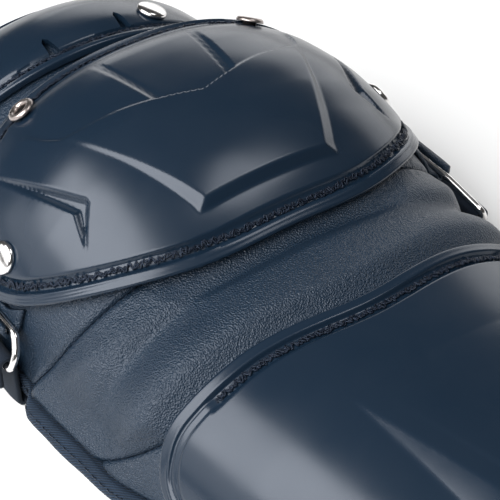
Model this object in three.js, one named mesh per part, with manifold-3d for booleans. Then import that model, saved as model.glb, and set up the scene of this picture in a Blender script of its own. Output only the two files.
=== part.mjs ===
// A catcher's leg guard, lying on its straps with its open side down.
// Millimetres. X runs across the leg, +Y towards the thigh, +Z out of the front of the guard.
// The origin is under the middle of the guard, on the surface that it lies on.
import * as THREE from 'three';
import { mergeVertices } from 'three/addons/utils/BufferGeometryUtils.js';
import Module from 'manifold-3d';

const wasm = await Module();
wasm.setup();

// Lengths along the leg, from the foot end to the thigh end
const footFlapLength = 92;
const ankleHingeGap = 0.6;
const shinShellLength = 229;
const flexBandLength = 42;
const kneeShellLength = 118;
const capGap = 19;
const thighCapLength = 60;
const thighPadMargin = 8;

// Widths across, and crown heights above the plane of the pads' edges
const kneeShellWidth = 204;
const kneeShellHeight = 99;
const shinShellWidth = 190;
const shinShellHeight = 67;
const thighCapWidth = 172;
const thighCapHeight = 78;
const footFlapWidth = 124;
const footFlapHeight = 58;
const footFlapTilt = 20;
const thighCapLean = 7;

// Walls and clearances
const shellWall = 3;
const padThickness = 9;
const clearance = 0.3;
const padClearance = 1.3;
const bindingWidth = 12;
const bindingWall = 1.2;
const flexBandBulge = 4.5;
const padSplay = 5.5;

// Relief of the shells
const shieldRise = 2.4;
const shoulderDepth = 0.9;
const panelDepth = 1.2;
const ventDepth = 2.2;
const lipWidth = 5;
const lipRise = 0.9;
const channelWidth = 5;
const channelDepth = 1.3;
const shinPanelRise = 4.5;

// Straps and hardware
const strapWidth = 36;
const strapThickness = 2.5;
const strapFoldLength = 10;
const tabWidth = 30;
const tabThickness = 2.4;
const wireDiameter = 3.2;
const loopHeight = 12;
const rivetDiameter = 13.5;
const rivetHeight = 2.8;
const grommetDiameter = 12;
const grommetBore = 6;
const grommetHeight = 1.8;

// What follows from the sizes above
const edgeLift = strapThickness + clearance;
const padInset = shellWall + padClearance;
const footFlapTurn = THREE.MathUtils.degToRad(footFlapTilt);
const footFlapReach = footFlapLength * Math.cos(footFlapTurn) + padThickness * Math.sin(footFlapTurn);
const shellsLength = shinShellLength + flexBandLength + kneeShellLength + capGap + thighCapLength;
const overallLength = footFlapReach + ankleHingeGap + shellsLength + thighPadMargin;
const ankleY = -overallLength / 2 + footFlapReach + ankleHingeGap;
const shinTopY = ankleY + shinShellLength;
const kneeLowY = shinTopY + flexBandLength;
const kneeTopY = kneeLowY + kneeShellLength;
const capLowY = kneeTopY + capGap;
const capTopY = capLowY + thighCapLength;
const kneePadTopY = kneeTopY + capGap / 2;

const { degToRad } = THREE.MathUtils;

// Smooth 0 to 1 as distance crosses zero over a width
function ramp(distance, width) {
  return THREE.MathUtils.smoothstep(distance, -width / 2, width / 2);
}

// A smooth curve through a table's column that never overshoots
function throughTable(rows, key, column, at) {
  const last = rows.length - 1;
  if (at <= rows[0][key]) return rows[0][column];
  if (at >= rows[last][key]) return rows[last][column];
  const i = rows.findIndex((row) => row[key] > at) - 1;
  const slope = (k) => (rows[k + 1][column] - rows[k][column]) / (rows[k + 1][key] - rows[k][key]);
  const tangent = (k) => {
    if (k === 0) return slope(0);
    if (k === last) return slope(last - 1);
    const before = slope(k - 1);
    const after = slope(k);
    return before * after > 0 ? (2 * before * after) / (before + after) : 0;
  };
  const step = rows[i + 1][key] - rows[i][key];
  const f = (at - rows[i][key]) / step;
  return (
    rows[i][column] * (1 + 2 * f) * (1 - f) ** 2 +
    tangent(i) * step * f * (1 - f) ** 2 +
    rows[i + 1][column] * f * f * (3 - 2 * f) +
    tangent(i + 1) * step * f * f * (f - 1)
  );
}

// Sections of the shells' outer surface: places and sizes are shares of each shell's own
const kneeSections = [
  { along: -0.04, half: 0.97, rise: 0.68, square: 2.1 },
  { along: 0.01, half: 0.975, rise: 0.73, square: 2.15 },
  { along: 0.14, half: 0.985, rise: 0.85, square: 2.2 },
  { along: 0.29, half: 0.99, rise: 0.94, square: 2.25 },
  { along: 0.42, half: 1, rise: 0.98, square: 2.35 },
  { along: 0.58, half: 1, rise: 1, square: 2.4 },
  { along: 0.75, half: 0.99, rise: 0.99, square: 2.35 },
  { along: 0.88, half: 0.97, rise: 0.955, square: 2.3 },
  { along: 0.96, half: 0.96, rise: 0.92, square: 2.25 },
  { along: 1.02, half: 0.95, rise: 0.88, square: 2.2 },
  { along: 1.09, half: 0.92, rise: 0.8, square: 2.2 },
];
const shinSections = [
  { along: 0, half: 0.66, rise: 0.9, square: 2.2 },
  { along: 0.44, half: 0.83, rise: 0.96, square: 2.3 },
  { along: 0.83, half: 0.96, rise: 1.01, square: 2.4 },
  { along: 0.99, half: 1, rise: 1, square: 2.45 },
  { along: 1.08, half: 1.03, rise: 1.015, square: 2.5 },
];
const capSections = [
  { along: 0, half: 1, rise: 0.98, square: 2, lean: 1 },
  { along: 0.25, half: 0.99, rise: 1.01, square: 2, lean: 1 },
  { along: 0.5, half: 0.98, rise: 0.99, square: 2, lean: 1 },
  { along: 0.75, half: 0.96, rise: 0.91, square: 2, lean: 1 },
  { along: 1, half: 0.93, rise: 0.76, square: 2, lean: 1 },
  { along: 1.13, half: 0.91, rise: 0.68, square: 2, lean: 1 },
];
const flapSections = [
  { along: 0, half: 1, rise: 1, square: 2.2 },
  { along: 0.5, half: 0.97, rise: 0.98, square: 2.2 },
];

function placeSections(rows, start, length, halfWidth, height, lean = 0) {
  return rows.map((row) => ({
    y: start + row.along * length,
    half: row.half * halfWidth,
    rise: row.rise * height,
    square: row.square,
    lean: (row.lean ?? 0) * lean,
  }));
}

// One smooth arch from the ankle to the thigh end
const bodyForm = [
  ...placeSections(shinSections, ankleY, shinShellLength, shinShellWidth / 2, shinShellHeight),
  ...placeSections(kneeSections, kneeLowY, kneeShellLength, kneeShellWidth / 2, kneeShellHeight),
  ...placeSections(capSections, capLowY, thighCapLength, thighCapWidth / 2, thighCapHeight, thighCapLean),
];
// The foot flap is made level, from its hinge on the shin's end, and tilted afterwards
const flapForm = [
  ...placeSections(flapSections, -footFlapLength, footFlapLength, footFlapWidth / 2, footFlapHeight),
  { ...bodyForm[0], y: 0 },
];

// A point of an arch: t is the angle round it in degrees, 0 at the crown and 90 at the far edge
function archPoint(form, y, t) {
  const half = throughTable(form, 'y', 'half', y);
  const rise = throughTable(form, 'y', 'rise', y);
  const square = throughTable(form, 'y', 'square', y);
  const lean = throughTable(form, 'y', 'lean', y);
  const a = degToRad(t);
  const sideways = Math.abs(Math.sin(a) / half);
  const upwards = Math.abs(Math.cos(a) / rise);
  const r = (sideways ** square + upwards ** square) ** (-1 / square);
  const b = a + degToRad(lean) * Math.cos(a);
  return new THREE.Vector3(r * Math.sin(b), y, edgeLift + r * Math.cos(b));
}

function archNormal(form, y, t) {
  const step = 0.5;
  const across = archPoint(form, y, t + step).sub(archPoint(form, y, t - step));
  const along = archPoint(form, y + step, t).sub(archPoint(form, y - step, t));
  return across.cross(along).normalize();
}

function onArch(form, y, t, out) {
  return archPoint(form, y, t).addScaledVector(archNormal(form, y, t), out);
}

function geometryOf(points, faces) {
  const geometry = new THREE.BufferGeometry();
  const numbers = points.flatMap((p) => [p.x, p.y, p.z]);
  geometry.setAttribute('position', new THREE.Float32BufferAttribute(numbers, 3));
  geometry.setIndex(faces.flat());
  geometry.computeVertexNormals();
  return geometry;
}

// A closed body between two skins, each a grid of points.
// The inner skin has every coarse-th line of the outer skin's grid.
function closedSkins(outerGrid, innerGrid, coarse = 1) {
  const points = [...outerGrid.flat(), ...innerGrid.flat()];
  const m = outerGrid.length - 1;
  const n = outerGrid[0].length - 1;
  const outer = (i, j) => i * (n + 1) + j;
  const inner = (i, j) => (m + 1) * (n + 1) + (i / coarse) * (n / coarse + 1) + j / coarse;
  const faces = [];
  for (let i = 0; i < m; i += 1)
    for (let j = 0; j < n; j += 1)
      faces.push(
        [outer(i, j), outer(i + 1, j), outer(i + 1, j + 1)],
        [outer(i, j), outer(i + 1, j + 1), outer(i, j + 1)],
      );
  for (let i = 0; i < m; i += coarse)
    for (let j = 0; j < n; j += coarse)
      faces.push(
        [inner(i, j), inner(i + coarse, j + coarse), inner(i + coarse, j)],
        [inner(i, j), inner(i, j + coarse), inner(i + coarse, j + coarse)],
      );
  const rim = [];
  for (let i = 0; i < m; i += 1) rim.push([i, 0]);
  for (let j = 0; j < n; j += 1) rim.push([m, j]);
  for (let i = m; i > 0; i -= 1) rim.push([i, n]);
  for (let j = n; j > 0; j -= 1) rim.push([0, j]);
  for (let k = 0; k < rim.length; k += coarse) {
    const corners = Array.from({ length: coarse + 1 }, (_, c) => rim[(k + c) % rim.length]);
    const fine = corners.map(([i, j]) => outer(i, j));
    const a = inner(...corners[0]);
    const b = inner(...corners[coarse]);
    faces.push([fine[1], fine[0], a], [fine[1], a, b]);
    for (let c = 1; c < coarse; c += 1) faces.push([fine[c + 1], fine[c], b]);
  }
  return geometryOf(points, faces);
}

// A wall over a stretch of an arch
function wall({ form, angles, shares, low, high, front, back, coarse = 1 }) {
  const skin = (out, step) =>
    angles
      .filter((_, i) => i % step === 0)
      .map((t) =>
        shares
          .filter((_, j) => j % step === 0)
          .map((u) => {
            const y = THREE.MathUtils.lerp(low(t), high(t), u);
            return onArch(form, y, t, out(y, t));
          }),
      );
  return closedSkins(skin(front, 1), skin(back, coarse), coarse);
}

// Even steps from one value to another
function steps(from, to, count) {
  return Array.from({ length: count + 1 }, (_, i) => THREE.MathUtils.lerp(from, to, i / count));
}

function mirrored(values) {
  return [...values.slice(1).reverse().map((v) => -v), ...values];
}

// Shares of a length where a rim's lip and channel change, then even steps between
function rimmedShares(length, inside) {
  const marks = [0, lipWidth, lipWidth + 1.2, lipWidth + channelWidth, lipWidth + channelWidth + 1.6];
  const ends = marks.map((mark) => mark / length);
  const middle = steps(ends[ends.length - 1], 1 - ends[ends.length - 1], inside);
  return [...ends.slice(0, -1), ...middle, ...ends.slice(0, -1).reverse().map((u) => 1 - u)];
}

// Rims of the shells as functions of the angle
const kneeSpan = 68.5;
const kneeRimTurn = 72;
const kneeRimReach = 0.57;
const kneeRimPower = 3.7;
const kneeRimRise = kneeRimReach * kneeShellLength;
const kneeLow = (t) => kneeLowY + kneeRimRise * (Math.abs(t) / kneeRimTurn) ** kneeRimPower;
const kneeHigh = (t) => kneeTopY - 0.42 * kneeShellLength * (Math.abs(t) / kneeRimTurn) ** 4;

const shinSpan = 78;
const shinRimBow = 5;
const shinCornerDrop = 14;
const shinCornerStart = 58;
function shinHigh(t) {
  const bow = shinRimBow * THREE.MathUtils.smoothstep(Math.abs(t), 0, 42);
  const past = Math.max(0, Math.abs(t) - shinCornerStart) / (shinSpan - shinCornerStart);
  return shinTopY + bow - shinCornerDrop * past ** 2;
}
const shinLow = (t) => ankleY + shinCornerDrop * (t / shinSpan) ** 4;

const capSpan = 66;
const capLow = (t) => capLowY + 0.3 * thighCapLength * (Math.abs(t) / capSpan) ** 2.4;
const capHigh = (t) => capTopY - 0.35 * thighCapLength * (Math.abs(t) / capSpan) ** 3;

const flapSpan = 62;
const flapLow = (t) => -footFlapLength + 0.4 * footFlapLength * (Math.abs(t) / flapSpan) ** 3;
const flapHigh = (t) => -0.12 * footFlapLength * (Math.abs(t) / flapSpan) ** 2;

// Seams of the flexible band between the knee and the shin
const padEdgeTurn = 90;
const seamLowY = kneeLowY + 0.06 * kneeShellLength;
const upperSeam = (t) => seamLowY + 0.86 * flexBandLength * (Math.abs(t) / padEdgeTurn) ** 3;
const lowerSeam = (t) => shinTopY - 5 + 1.3 * flexBandLength * (Math.abs(t) / padEdgeTurn) ** 5.5;

// How far a point lies inside a rim, square to it
function insideRim(form, rim, y, t) {
  const run = archPoint(form, rim(t + 1), t + 1).distanceTo(archPoint(form, rim(t), t));
  const slope = (rim(t + 1) - rim(t)) / Math.max(run, 1e-6);
  return Math.abs(y - rim(t)) * Math.sqrt(Math.max(1 - slope * slope, 0.05));
}

// A flared lip at the rim and a sewing channel behind it, where the rim is sewn
function rimRelief(distance, sewn = 1) {
  const lip = lipRise * (1 - ramp(distance - lipWidth, 2));
  const channel = ramp(distance - lipWidth, 1.2) - ramp(distance - lipWidth - channelWidth, 1.6);
  return lip - channelDepth * channel * sewn;
}

// How far a point is inside a tapered stroke from one place to another
function insideStroke(a, y, stroke) {
  const dx = stroke.toA - stroke.fromA;
  const dy = stroke.toY - stroke.fromY;
  const share = ((a - stroke.fromA) * dx + (y - stroke.fromY) * dy) / (dx * dx + dy * dy);
  const along = THREE.MathUtils.clamp(share, 0, 1);
  const half = THREE.MathUtils.lerp(stroke.fromHalf, stroke.toHalf, along);
  return half - Math.hypot(a - stroke.fromA - dx * along, y - stroke.fromY - dy * along);
}

// The knee shell's relief, over arc length a from the crown and height b above its lower rim.
// The places are shares of the shell's length (b) and half width (a).
const kneeHalf = kneeShellWidth / 2;
const kneeA = (share) => share * kneeHalf;
const kneeB = (share) => share * kneeShellLength;
const shield = { bottomA: 0.316, bottomB: 0.164, sideA: 0.555, sideB: 0.641, footA: 0.065, footB: 0.032 };
const shieldTopRows = [
  { a: 0, top: 0.512 },
  { a: 0.184, top: 0.558 },
  { a: 0.308, top: 0.589 },
  { a: 0.555, top: 0.641 },
  { a: 0.605, top: 0.694 },
  { a: 0.652, top: 0.782 },
];
const shoulder = { b: 0.9, fadeFromA: 0.6, fadeToA: 0.7 };
const panel = { lowA: 0.184, highA: 0.25, lowB: 0.55, highB: 0.88 };
const vents = [
  { fromA: 0.835, fromB: 0.745, toA: 0.685, toB: 0.394, fromHalf: 0.006, toHalf: 0.036 },
  { fromA: 0.68, fromB: 0.392, toA: 0.79, toB: 0.28, fromHalf: 0.034, toHalf: 0.005 },
].map((row) => ({
  fromA: kneeA(row.fromA),
  fromY: kneeB(row.fromB),
  toA: kneeA(row.toA),
  toY: kneeB(row.toB),
  fromHalf: kneeA(row.fromHalf),
  toHalf: kneeA(row.toHalf),
}));
const shieldTop = (a) => kneeB(throughTable(shieldTopRows, 'a', 'top', a / kneeHalf));

// The shield stands off most at its lower corners, on walls that widen towards them
function shieldHeight(a, b) {
  const climb = (b / kneeShellLength - shield.bottomB) / (shield.sideB - shield.bottomB);
  const up = THREE.MathUtils.clamp(climb, 0, 1);
  const sideA = kneeA(THREE.MathUtils.lerp(shield.bottomA, shield.sideA, up));
  const sideWall = kneeA(shield.footA) * (1 - up) + 0.1;
  const down = Math.max(0, (a - sideA) / sideWall, (kneeB(shield.bottomB) - b) / kneeB(shield.footB));
  return shieldRise * (1 - up) * Math.max(0, 1 - down);
}

function kneeRelief(y, t) {
  const a = kneeHalf * degToRad(Math.abs(t));
  const b = y - kneeLowY;
  const aboveShield = b - shieldTop(a);
  const panelUp = (b / kneeShellLength - panel.lowB) / (panel.highB - panel.lowB);
  const panelA = kneeA(THREE.MathUtils.lerp(panel.lowA, panel.highA, panelUp));
  const sideFade = 1 - THREE.MathUtils.smoothstep(a, kneeA(shoulder.fadeFromA), kneeA(shoulder.fadeToA));
  const upper = ramp(aboveShield, 2) * ramp(kneeB(shoulder.b) - b, 5) * sideFade;
  const insideVent = Math.max(...vents.map((vent) => insideStroke(a, b, vent)));
  const edge = Math.min(insideRim(bodyForm, kneeLow, y, t), insideRim(bodyForm, kneeHigh, y, t));
  return (
    shieldHeight(a, b) * (1 - ramp(aboveShield, 2)) -
    upper * (shoulderDepth + panelDepth * ramp(panelA - a, 2.5)) -
    ventDepth * ramp(insideVent, 2.5) +
    rimRelief(edge)
  );
}

// The shin shell's middle stands off between two walls that widen towards the ankle
const shinPanel = { a: 0.478, start: 0.841, spread: 0.282, wall: 0.23 };
function shinPanelHeight(y, t) {
  const a = (shinShellWidth / 2) * degToRad(Math.abs(t));
  const down = Math.max(0, ankleY + shinPanel.start * shinShellLength - y);
  const fullWall = (shinPanel.wall * shinShellWidth) / 2;
  const wall = Math.min(shinPanel.spread * down, fullWall);
  const up = THREE.MathUtils.clamp(((shinPanel.a * shinShellWidth) / 2 - a) / Math.max(wall, 0.1), 0, 1);
  return (shinPanelRise * wall * up) / fullWall;
}
// The shin shell's upper rim is sewn down to a turn on each side
const shinSewnTurn = 52;
function shinRelief(y, t) {
  const edge = Math.min(insideRim(bodyForm, shinHigh, y, t), insideRim(bodyForm, shinLow, y, t));
  return shinPanelHeight(y, t) + rimRelief(edge, 1 - ramp(Math.abs(t) - shinSewnTurn, 4));
}

function capRelief(y, t) {
  const edge = Math.min(insideRim(bodyForm, capLow, y, t), insideRim(bodyForm, capHigh, y, t));
  return rimRelief(edge);
}

function flapRelief(y, t) {
  return rimRelief(Math.min(insideRim(flapForm, flapLow, y, t), insideRim(flapForm, flapHigh, y, t)));
}

// The flexible band's bulge between its seams, flat under the shells and near the straps
function bandSwell(y, t) {
  const u = THREE.MathUtils.clamp((y - lowerSeam(t)) / (upperSeam(t) - lowerSeam(t)), 0, 1);
  const clearOfKnee = ramp(kneeLow(t) - y - 7, 6);
  const clearOfShin = ramp(y - shinHigh(t) - 8, 6);
  const [from, to] = t > 0 ? [58, 73] : [74, 86];
  const clearOfStraps = 1 - THREE.MathUtils.smoothstep(Math.abs(t), from, to);
  return flexBandBulge * Math.sqrt(1 - (2 * u - 1) ** 4) * clearOfKnee * clearOfShin * clearOfStraps;
}

// The near side's pads splay where no strap draws them in
const splayRows = [
  { y: shinTopY, share: 0 },
  { y: shinTopY + 0.5 * flexBandLength, share: 0.75 },
  { y: kneeLowY, share: 0.9 },
  { y: kneeLowY + 0.25 * kneeShellLength, share: 1 },
  { y: kneeLowY + 0.37 * kneeShellLength, share: 0.2 },
  { y: kneeLowY + 0.68 * kneeShellLength, share: 0.2 },
  { y: kneePadTopY, share: 0 },
];
function splay(y, t) {
  return padSplay * throughTable(splayRows, 'y', 'share', y) * THREE.MathUtils.smoothstep(-t, 74, 88);
}

function pad(form, span, across, along, low, high, swell) {
  return wall({
    form,
    angles: steps(-span, span, across),
    shares: steps(0, 1, along),
    low,
    high,
    front: (y, t) => -padInset + swell(y, t) + splay(y, t),
    back: (y, t) => -padInset - padThickness + splay(y, t),
    coarse: 2,
  });
}

// The tape folded round a pad's edge, from one end to the other
function edgeTape(side, fromY, toY, count) {
  const turnAt = padEdgeTurn - bindingTurn;
  const points = [];
  const faces = [];
  const depths = [-padInset + bindingWall, -padInset - padThickness - bindingWall];
  steps(fromY, toY, count).forEach((y) => {
    const corners = [
      [turnAt, depths[0]],
      [padEdgeTurn, depths[0]],
      [padEdgeTurn, depths[1]],
      [turnAt, depths[1]],
    ];
    corners.forEach(([t, out]) => points.push(onArch(bodyForm, y, side * t, out + splay(y, side * t))));
  });
  for (let k = 0; k < count; k += 1)
    for (let c = 0; c < 4; c += 1) {
      const [p, q] = [4 * k + c, 4 * k + ((c + 1) % 4)];
      faces.push([p, q, q + 4], [p, q + 4, p + 4]);
    }
  const end = 4 * count;
  faces.push([0, 2, 1], [0, 3, 2], [end, end + 1, end + 2], [end, end + 2, end + 3]);
  return geometryOf(points, side < 0 ? faces.map(([a, b, c]) => [a, c, b]) : faces);
}

// The angle that the tape's width takes at the pads' edge
const bindingTurn = THREE.MathUtils.radToDeg(bindingWidth / (kneeShellWidth / 2));
const padSpan = padEdgeTurn - bindingTurn - 0.5;

const group = new THREE.Group();

const finishes = {
  plastic: { color: 0x202e40, roughness: 0.38, metalness: 0 },
  leather: { color: 0x222f41, roughness: 0.55, metalness: 0 },
  tape: { color: 0x1f2a3a, roughness: 0.85, metalness: 0 },
  webbing: { color: 0x15171c, roughness: 0.9, metalness: 0 },
  chrome: { color: 0xc9c6c4, roughness: 0.18, metalness: 1 },
};

function add(name, geometry, finish) {
  const mesh = new THREE.Mesh(geometry, new THREE.MeshStandardMaterial(finishes[finish]));
  mesh.name = name;
  group.add(mesh);
  return mesh;
}

// Joins and cuts
function solidOf(geometry) {
  const bare = geometry.clone();
  bare.deleteAttribute('normal');
  bare.deleteAttribute('uv');
  const merged = mergeVertices(bare, 1e-4);
  return new wasm.Manifold(
    new wasm.Mesh({
      numProp: 3,
      vertProperties: new Float32Array(merged.attributes.position.array),
      triVerts: new Uint32Array(merged.index.array),
    }),
  );
}

function cut(geometry, cutters) {
  let solid = solidOf(geometry);
  cutters.forEach((cutter) => {
    solid = solid.subtract(solidOf(cutter));
  });
  const mesh = solid.getMesh();
  const result = new THREE.BufferGeometry();
  result.setAttribute('position', new THREE.BufferAttribute(mesh.vertProperties, 3));
  result.setIndex(new THREE.BufferAttribute(mesh.triVerts, 1));
  result.computeVertexNormals();
  return result;
}

// Turns a geometry's +Z to an arch's normal and puts its origin on the arch
function seatOnArch(geometry, form, y, t, out) {
  const turn = new THREE.Matrix4();
  const normal = archNormal(form, y, t);
  const across = new THREE.Vector3(0, 1, 0).cross(normal).normalize();
  turn.makeBasis(across, new THREE.Vector3().crossVectors(normal, across), normal);
  turn.setPosition(onArch(form, y, t, out));
  return geometry.applyMatrix4(turn);
}

// The four hard shells
const kneeShares = rimmedShares(kneeShellLength, 14);
const kneeTurns = [0, 5, 10.5, 14.3, 18.1, 22, 26.5, 31.8, 35.5, 39, 43, 48, 53, 58, 62.5, 66, kneeSpan];
const kneeShellSolid = wall({
  form: bodyForm,
  angles: mirrored(kneeTurns),
  shares: kneeShares,
  low: kneeLow,
  high: kneeHigh,
  front: kneeRelief,
  back: () => -shellWall,
  coarse: 2,
});
const grommetTurn = 34;
const grommetY = kneeTopY - 0.085 * kneeShellLength;
const grommetPlaces = [-1, 1].map((side) => ({ side, y: grommetY, t: side * grommetTurn }));
const grommetHoles = grommetPlaces.map((place) =>
  seatOnArch(
    new THREE.CylinderGeometry(grommetBore / 2, grommetBore / 2, 6 * shellWall, 10).rotateX(Math.PI / 2),
    bodyForm, place.y, place.t, 0,
  ),
);
add('knee_shell', cut(kneeShellSolid, grommetHoles), 'plastic');

add(
  'shin_shell',
  wall({
    form: bodyForm,
    angles: mirrored([0, 8, 14.5, 18.5, 23, 27.4, 33, 39, 45, 50, 55, 60, 66, 72, shinSpan]),
    shares: rimmedShares(shinShellLength, 12),
    low: shinLow,
    high: shinHigh,
    front: shinRelief,
    back: (y, t) => shinPanelHeight(y, t) - shellWall,
    coarse: 2,
  }),
  'plastic',
);

const capSolid = wall({
  form: bodyForm,
  angles: steps(-capSpan, capSpan, 20),
  shares: rimmedShares(thighCapLength, 6),
  low: capLow,
  high: capHigh,
  front: capRelief,
  back: () => -shellWall,
  coarse: 2,
});
// Pierced slots: five-sided, narrow at the top
const slot = { y: 0.2, turns: [-21.3, 4.1], half: 2.6, height: 11 };
const slotDepth = 4 * shellWall;
const slotShape = new THREE.Shape([
  new THREE.Vector2(-slot.half, -slot.height / 2),
  new THREE.Vector2(slot.half, -slot.height / 2),
  new THREE.Vector2(0.6 * slot.half, 0.3 * slot.height),
  new THREE.Vector2(0, slot.height / 2),
  new THREE.Vector2(-0.6 * slot.half, 0.3 * slot.height),
]);
const slotCutters = slot.turns.map((turn) => {
  const cutter = new THREE.ExtrudeGeometry(slotShape, { depth: slotDepth, bevelEnabled: false });
  cutter.translate(0, 0, -slotDepth / 2);
  return seatOnArch(cutter, bodyForm, capLowY + slot.y * thighCapLength, turn, 0);
});
add('thigh_cap', cut(capSolid, slotCutters), 'plastic');

// The foot flap's pieces turn up about the front of the ankle
const flapGroup = new THREE.Group();
const hingeZ = edgeLift + bodyForm[0].rise - padInset;
flapGroup.position.set(0, ankleY - ankleHingeGap, hingeZ);
flapGroup.rotation.x = -footFlapTurn;
group.add(flapGroup);

function addToFlap(name, geometry, finish) {
  const mesh = add(name, geometry.translate(0, 0, -hingeZ), finish);
  flapGroup.add(mesh);
  return mesh;
}

addToFlap(
  'foot_flap_shell',
  wall({
    form: flapForm,
    angles: steps(-flapSpan, flapSpan, 16),
    shares: rimmedShares(footFlapLength, 4),
    low: (t) => flapLow(t) + thighPadMargin,
    high: (t) => flapHigh(t) - thighPadMargin,
    front: (y, t) => flapRelief(y, t),
    back: () => -shellWall,
    coarse: 2,
  }),
  'plastic',
);
addToFlap('foot_flap_pad', pad(flapForm, flapSpan + 6, 14, 6, flapLow, flapHigh, () => 0), 'leather');

// The pads under the shells; those that share a seam share its columns
const padColumns = 28;
const seamGap = clearance / 2;
function bodyPad(name, rows, low, high, swell = () => 0) {
  add(name, pad(bodyForm, padSpan, padColumns, rows, low, high, swell), 'leather');
}
bodyPad('thigh_pad', 10, () => kneePadTopY + seamGap, () => capTopY + thighPadMargin);
bodyPad('knee_pad', 14, (t) => upperSeam(t) + seamGap, () => kneePadTopY - seamGap);
bodyPad('flex_band', 12, (t) => lowerSeam(t) + seamGap, (t) => upperSeam(t) - seamGap, bandSwell);
bodyPad('shin_pad', 10, () => ankleY, (t) => lowerSeam(t) - seamGap);

// Tape round the pads' edges
[
  ['near', -1],
  ['far', 1],
].forEach(([place, side]) => {
  add(`edge_tape_${place}`, edgeTape(side, ankleY, kneePadTopY - seamGap, 28), 'tape');
  add(`thigh_tape_${place}`, edgeTape(side, kneePadTopY + seamGap, capTopY + thighPadMargin, 10), 'tape');
});

// A band of cloth or leather from columns of points, each column a path round the leg
function band(columns, thickness) {
  const skin = (side) =>
    columns[0].map((_, k) =>
      columns.map((path) => {
        const before = path[Math.max(k - 1, 0)];
        const after = path[Math.min(k + 1, path.length - 1)];
        const run = new THREE.Vector2(after.x - before.x, after.z - before.z).setLength(thickness / 2);
        return new THREE.Vector3(path[k].x - side * run.y, path[k].y, path[k].z + side * run.x);
      }),
    );
  return closedSkins(skin(1), skin(-1));
}

function arc(x, y, z, radius, from, to, count) {
  return steps(from, to, count).map((turn) => ({
    x: x + radius * Math.cos(degToRad(turn)),
    y,
    z: z + radius * Math.sin(degToRad(turn)),
  }));
}

const flipped = (path) => path.map((p) => ({ ...p, x: -p.x }));

// A closed round wire in a plane that holds the Y direction, through rounded corners
function wireLoop(corners, bend) {
  const ring = corners.flatMap((corner, k) => {
    const before = corners[(k + corners.length - 1) % corners.length];
    const after = corners[(k + 1) % corners.length];
    const towards = (other) => other.clone().sub(corner).setLength(bend).add(corner);
    return new THREE.QuadraticBezierCurve3(towards(before), corner, towards(after)).getPoints(3);
  });
  const plane = new THREE.Vector3(0, 1, 0).cross(corners[2].clone().sub(corners[1]).setY(0)).normalize();
  const sides = 6;
  const points = [];
  const faces = [];
  ring.forEach((p, k) => {
    const next = ring[(k + 1) % ring.length];
    const tangent = next.clone().sub(ring[(k + ring.length - 1) % ring.length]).normalize();
    const side = new THREE.Vector3().crossVectors(tangent, plane);
    for (let c = 0; c < sides; c += 1) {
      const turn = (2 * Math.PI * c) / sides;
      points.push(
        p.clone()
          .addScaledVector(plane, (wireDiameter / 2) * Math.cos(turn))
          .addScaledVector(side, (wireDiameter / 2) * Math.sin(turn)),
      );
    }
  });
  const total = sides * ring.length;
  for (let k = 0; k < ring.length; k += 1)
    for (let c = 0; c < sides; c += 1) {
      const [p, q] = [sides * k + c, sides * k + ((c + 1) % sides)];
      faces.push([p, q, (q + sides) % total], [p, (q + sides) % total, (p + sides) % total]);
    }
  return geometryOf(points, faces);
}

// A band's centre line outside the tape, and its bend under the tape's corner
const edgeHalf = (y, side) => throughTable(bodyForm, 'y', 'half', y) + splay(y, side * padEdgeTurn);
const strapX = (y, side) => edgeHalf(y, side) - padInset + bindingWall + 1.5 * clearance + strapThickness / 2;
function underEdge(y, side) {
  const bend = clearance + strapThickness / 2;
  return arc(strapX(y, side) - bend, y, strapThickness / 2 + bend, bend, 0, -90, 4);
}

// The knee strap hangs in wire loops from leather tabs and crosses under the leg askew
const foldRadius = (thickness) => wireDiameter / 2 + clearance + thickness / 2;
const across = (y, width, count) => steps(y - width / 2, y + width / 2, count);

// The turn of the knee shell's rim at a place along it
function rimTurn(y) {
  const share = Math.max(y - kneeLowY, 0) / (kneeRimReach * kneeShellLength);
  return Math.min(kneeRimTurn * share ** (1 / kneeRimPower), kneeSpan);
}

// The tab's inner leg lies on the pad, from just below the shell's rim to the upper bar
const barTurn = kneeSpan + 2;
function tabOnPad(y) {
  return steps(rimTurn(y) + 1, barTurn, 3).map((t) =>
    onArch(bodyForm, y, t, -padInset + clearance + tabThickness / 2),
  );
}

// Each loop's upper bar clears the tab's inner leg, and its lower bar the strap below
const kneeTabs = [
  { place: 'near', side: -1, tab: 0.52, strap: 0.505 },
  { place: 'far', side: 1, tab: 0.35, strap: 0.2 },
].map(({ place, side, tab, strap }) => {
  const tabY = kneeLowY + tab * kneeShellLength;
  const strapY = kneeLowY + strap * kneeShellLength;
  const legEnds = across(tabY, tabWidth, 4).map((y) => tabOnPad(y).at(-1));
  const strapReaches = across(strapY, strapWidth, 4).map((y) => strapX(y, side));
  const topZ = Math.min(...legEnds.map((p) => p.z));
  return {
    place,
    side,
    tabY,
    strapY,
    topZ,
    lowZ: topZ - loopHeight,
    upperX: Math.max(...legEnds.map((p) => p.x)) + foldRadius(tabThickness),
    lowerX: Math.max(...strapReaches) + foldRadius(strapThickness),
  };
});

function tabPath(y, { upperX, topZ }) {
  const radius = foldRadius(tabThickness);
  return [
    ...tabOnPad(y).slice(0, -1),
    ...arc(upperX, y, topZ, radius, 180, 360, 6),
    { x: upperX + radius, y, z: topZ + tabThickness },
  ];
}
function hungEnd(y, { side, lowerX, lowZ }) {
  const radius = foldRadius(strapThickness);
  return [
    { x: lowerX + radius, y, z: lowZ - strapFoldLength },
    ...arc(lowerX, y, lowZ, radius, 0, 180, 6),
    ...underEdge(y, side),
  ];
}

const kneeStrapColumns = [-0.5, 0, 0.5].map((share) => {
  const [near, far] = kneeTabs.map((loop) => hungEnd(loop.strapY + share * strapWidth, loop));
  return [...flipped(near), ...far.reverse()];
});
add('knee_strap', band(kneeStrapColumns, strapThickness), 'webbing');

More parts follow.
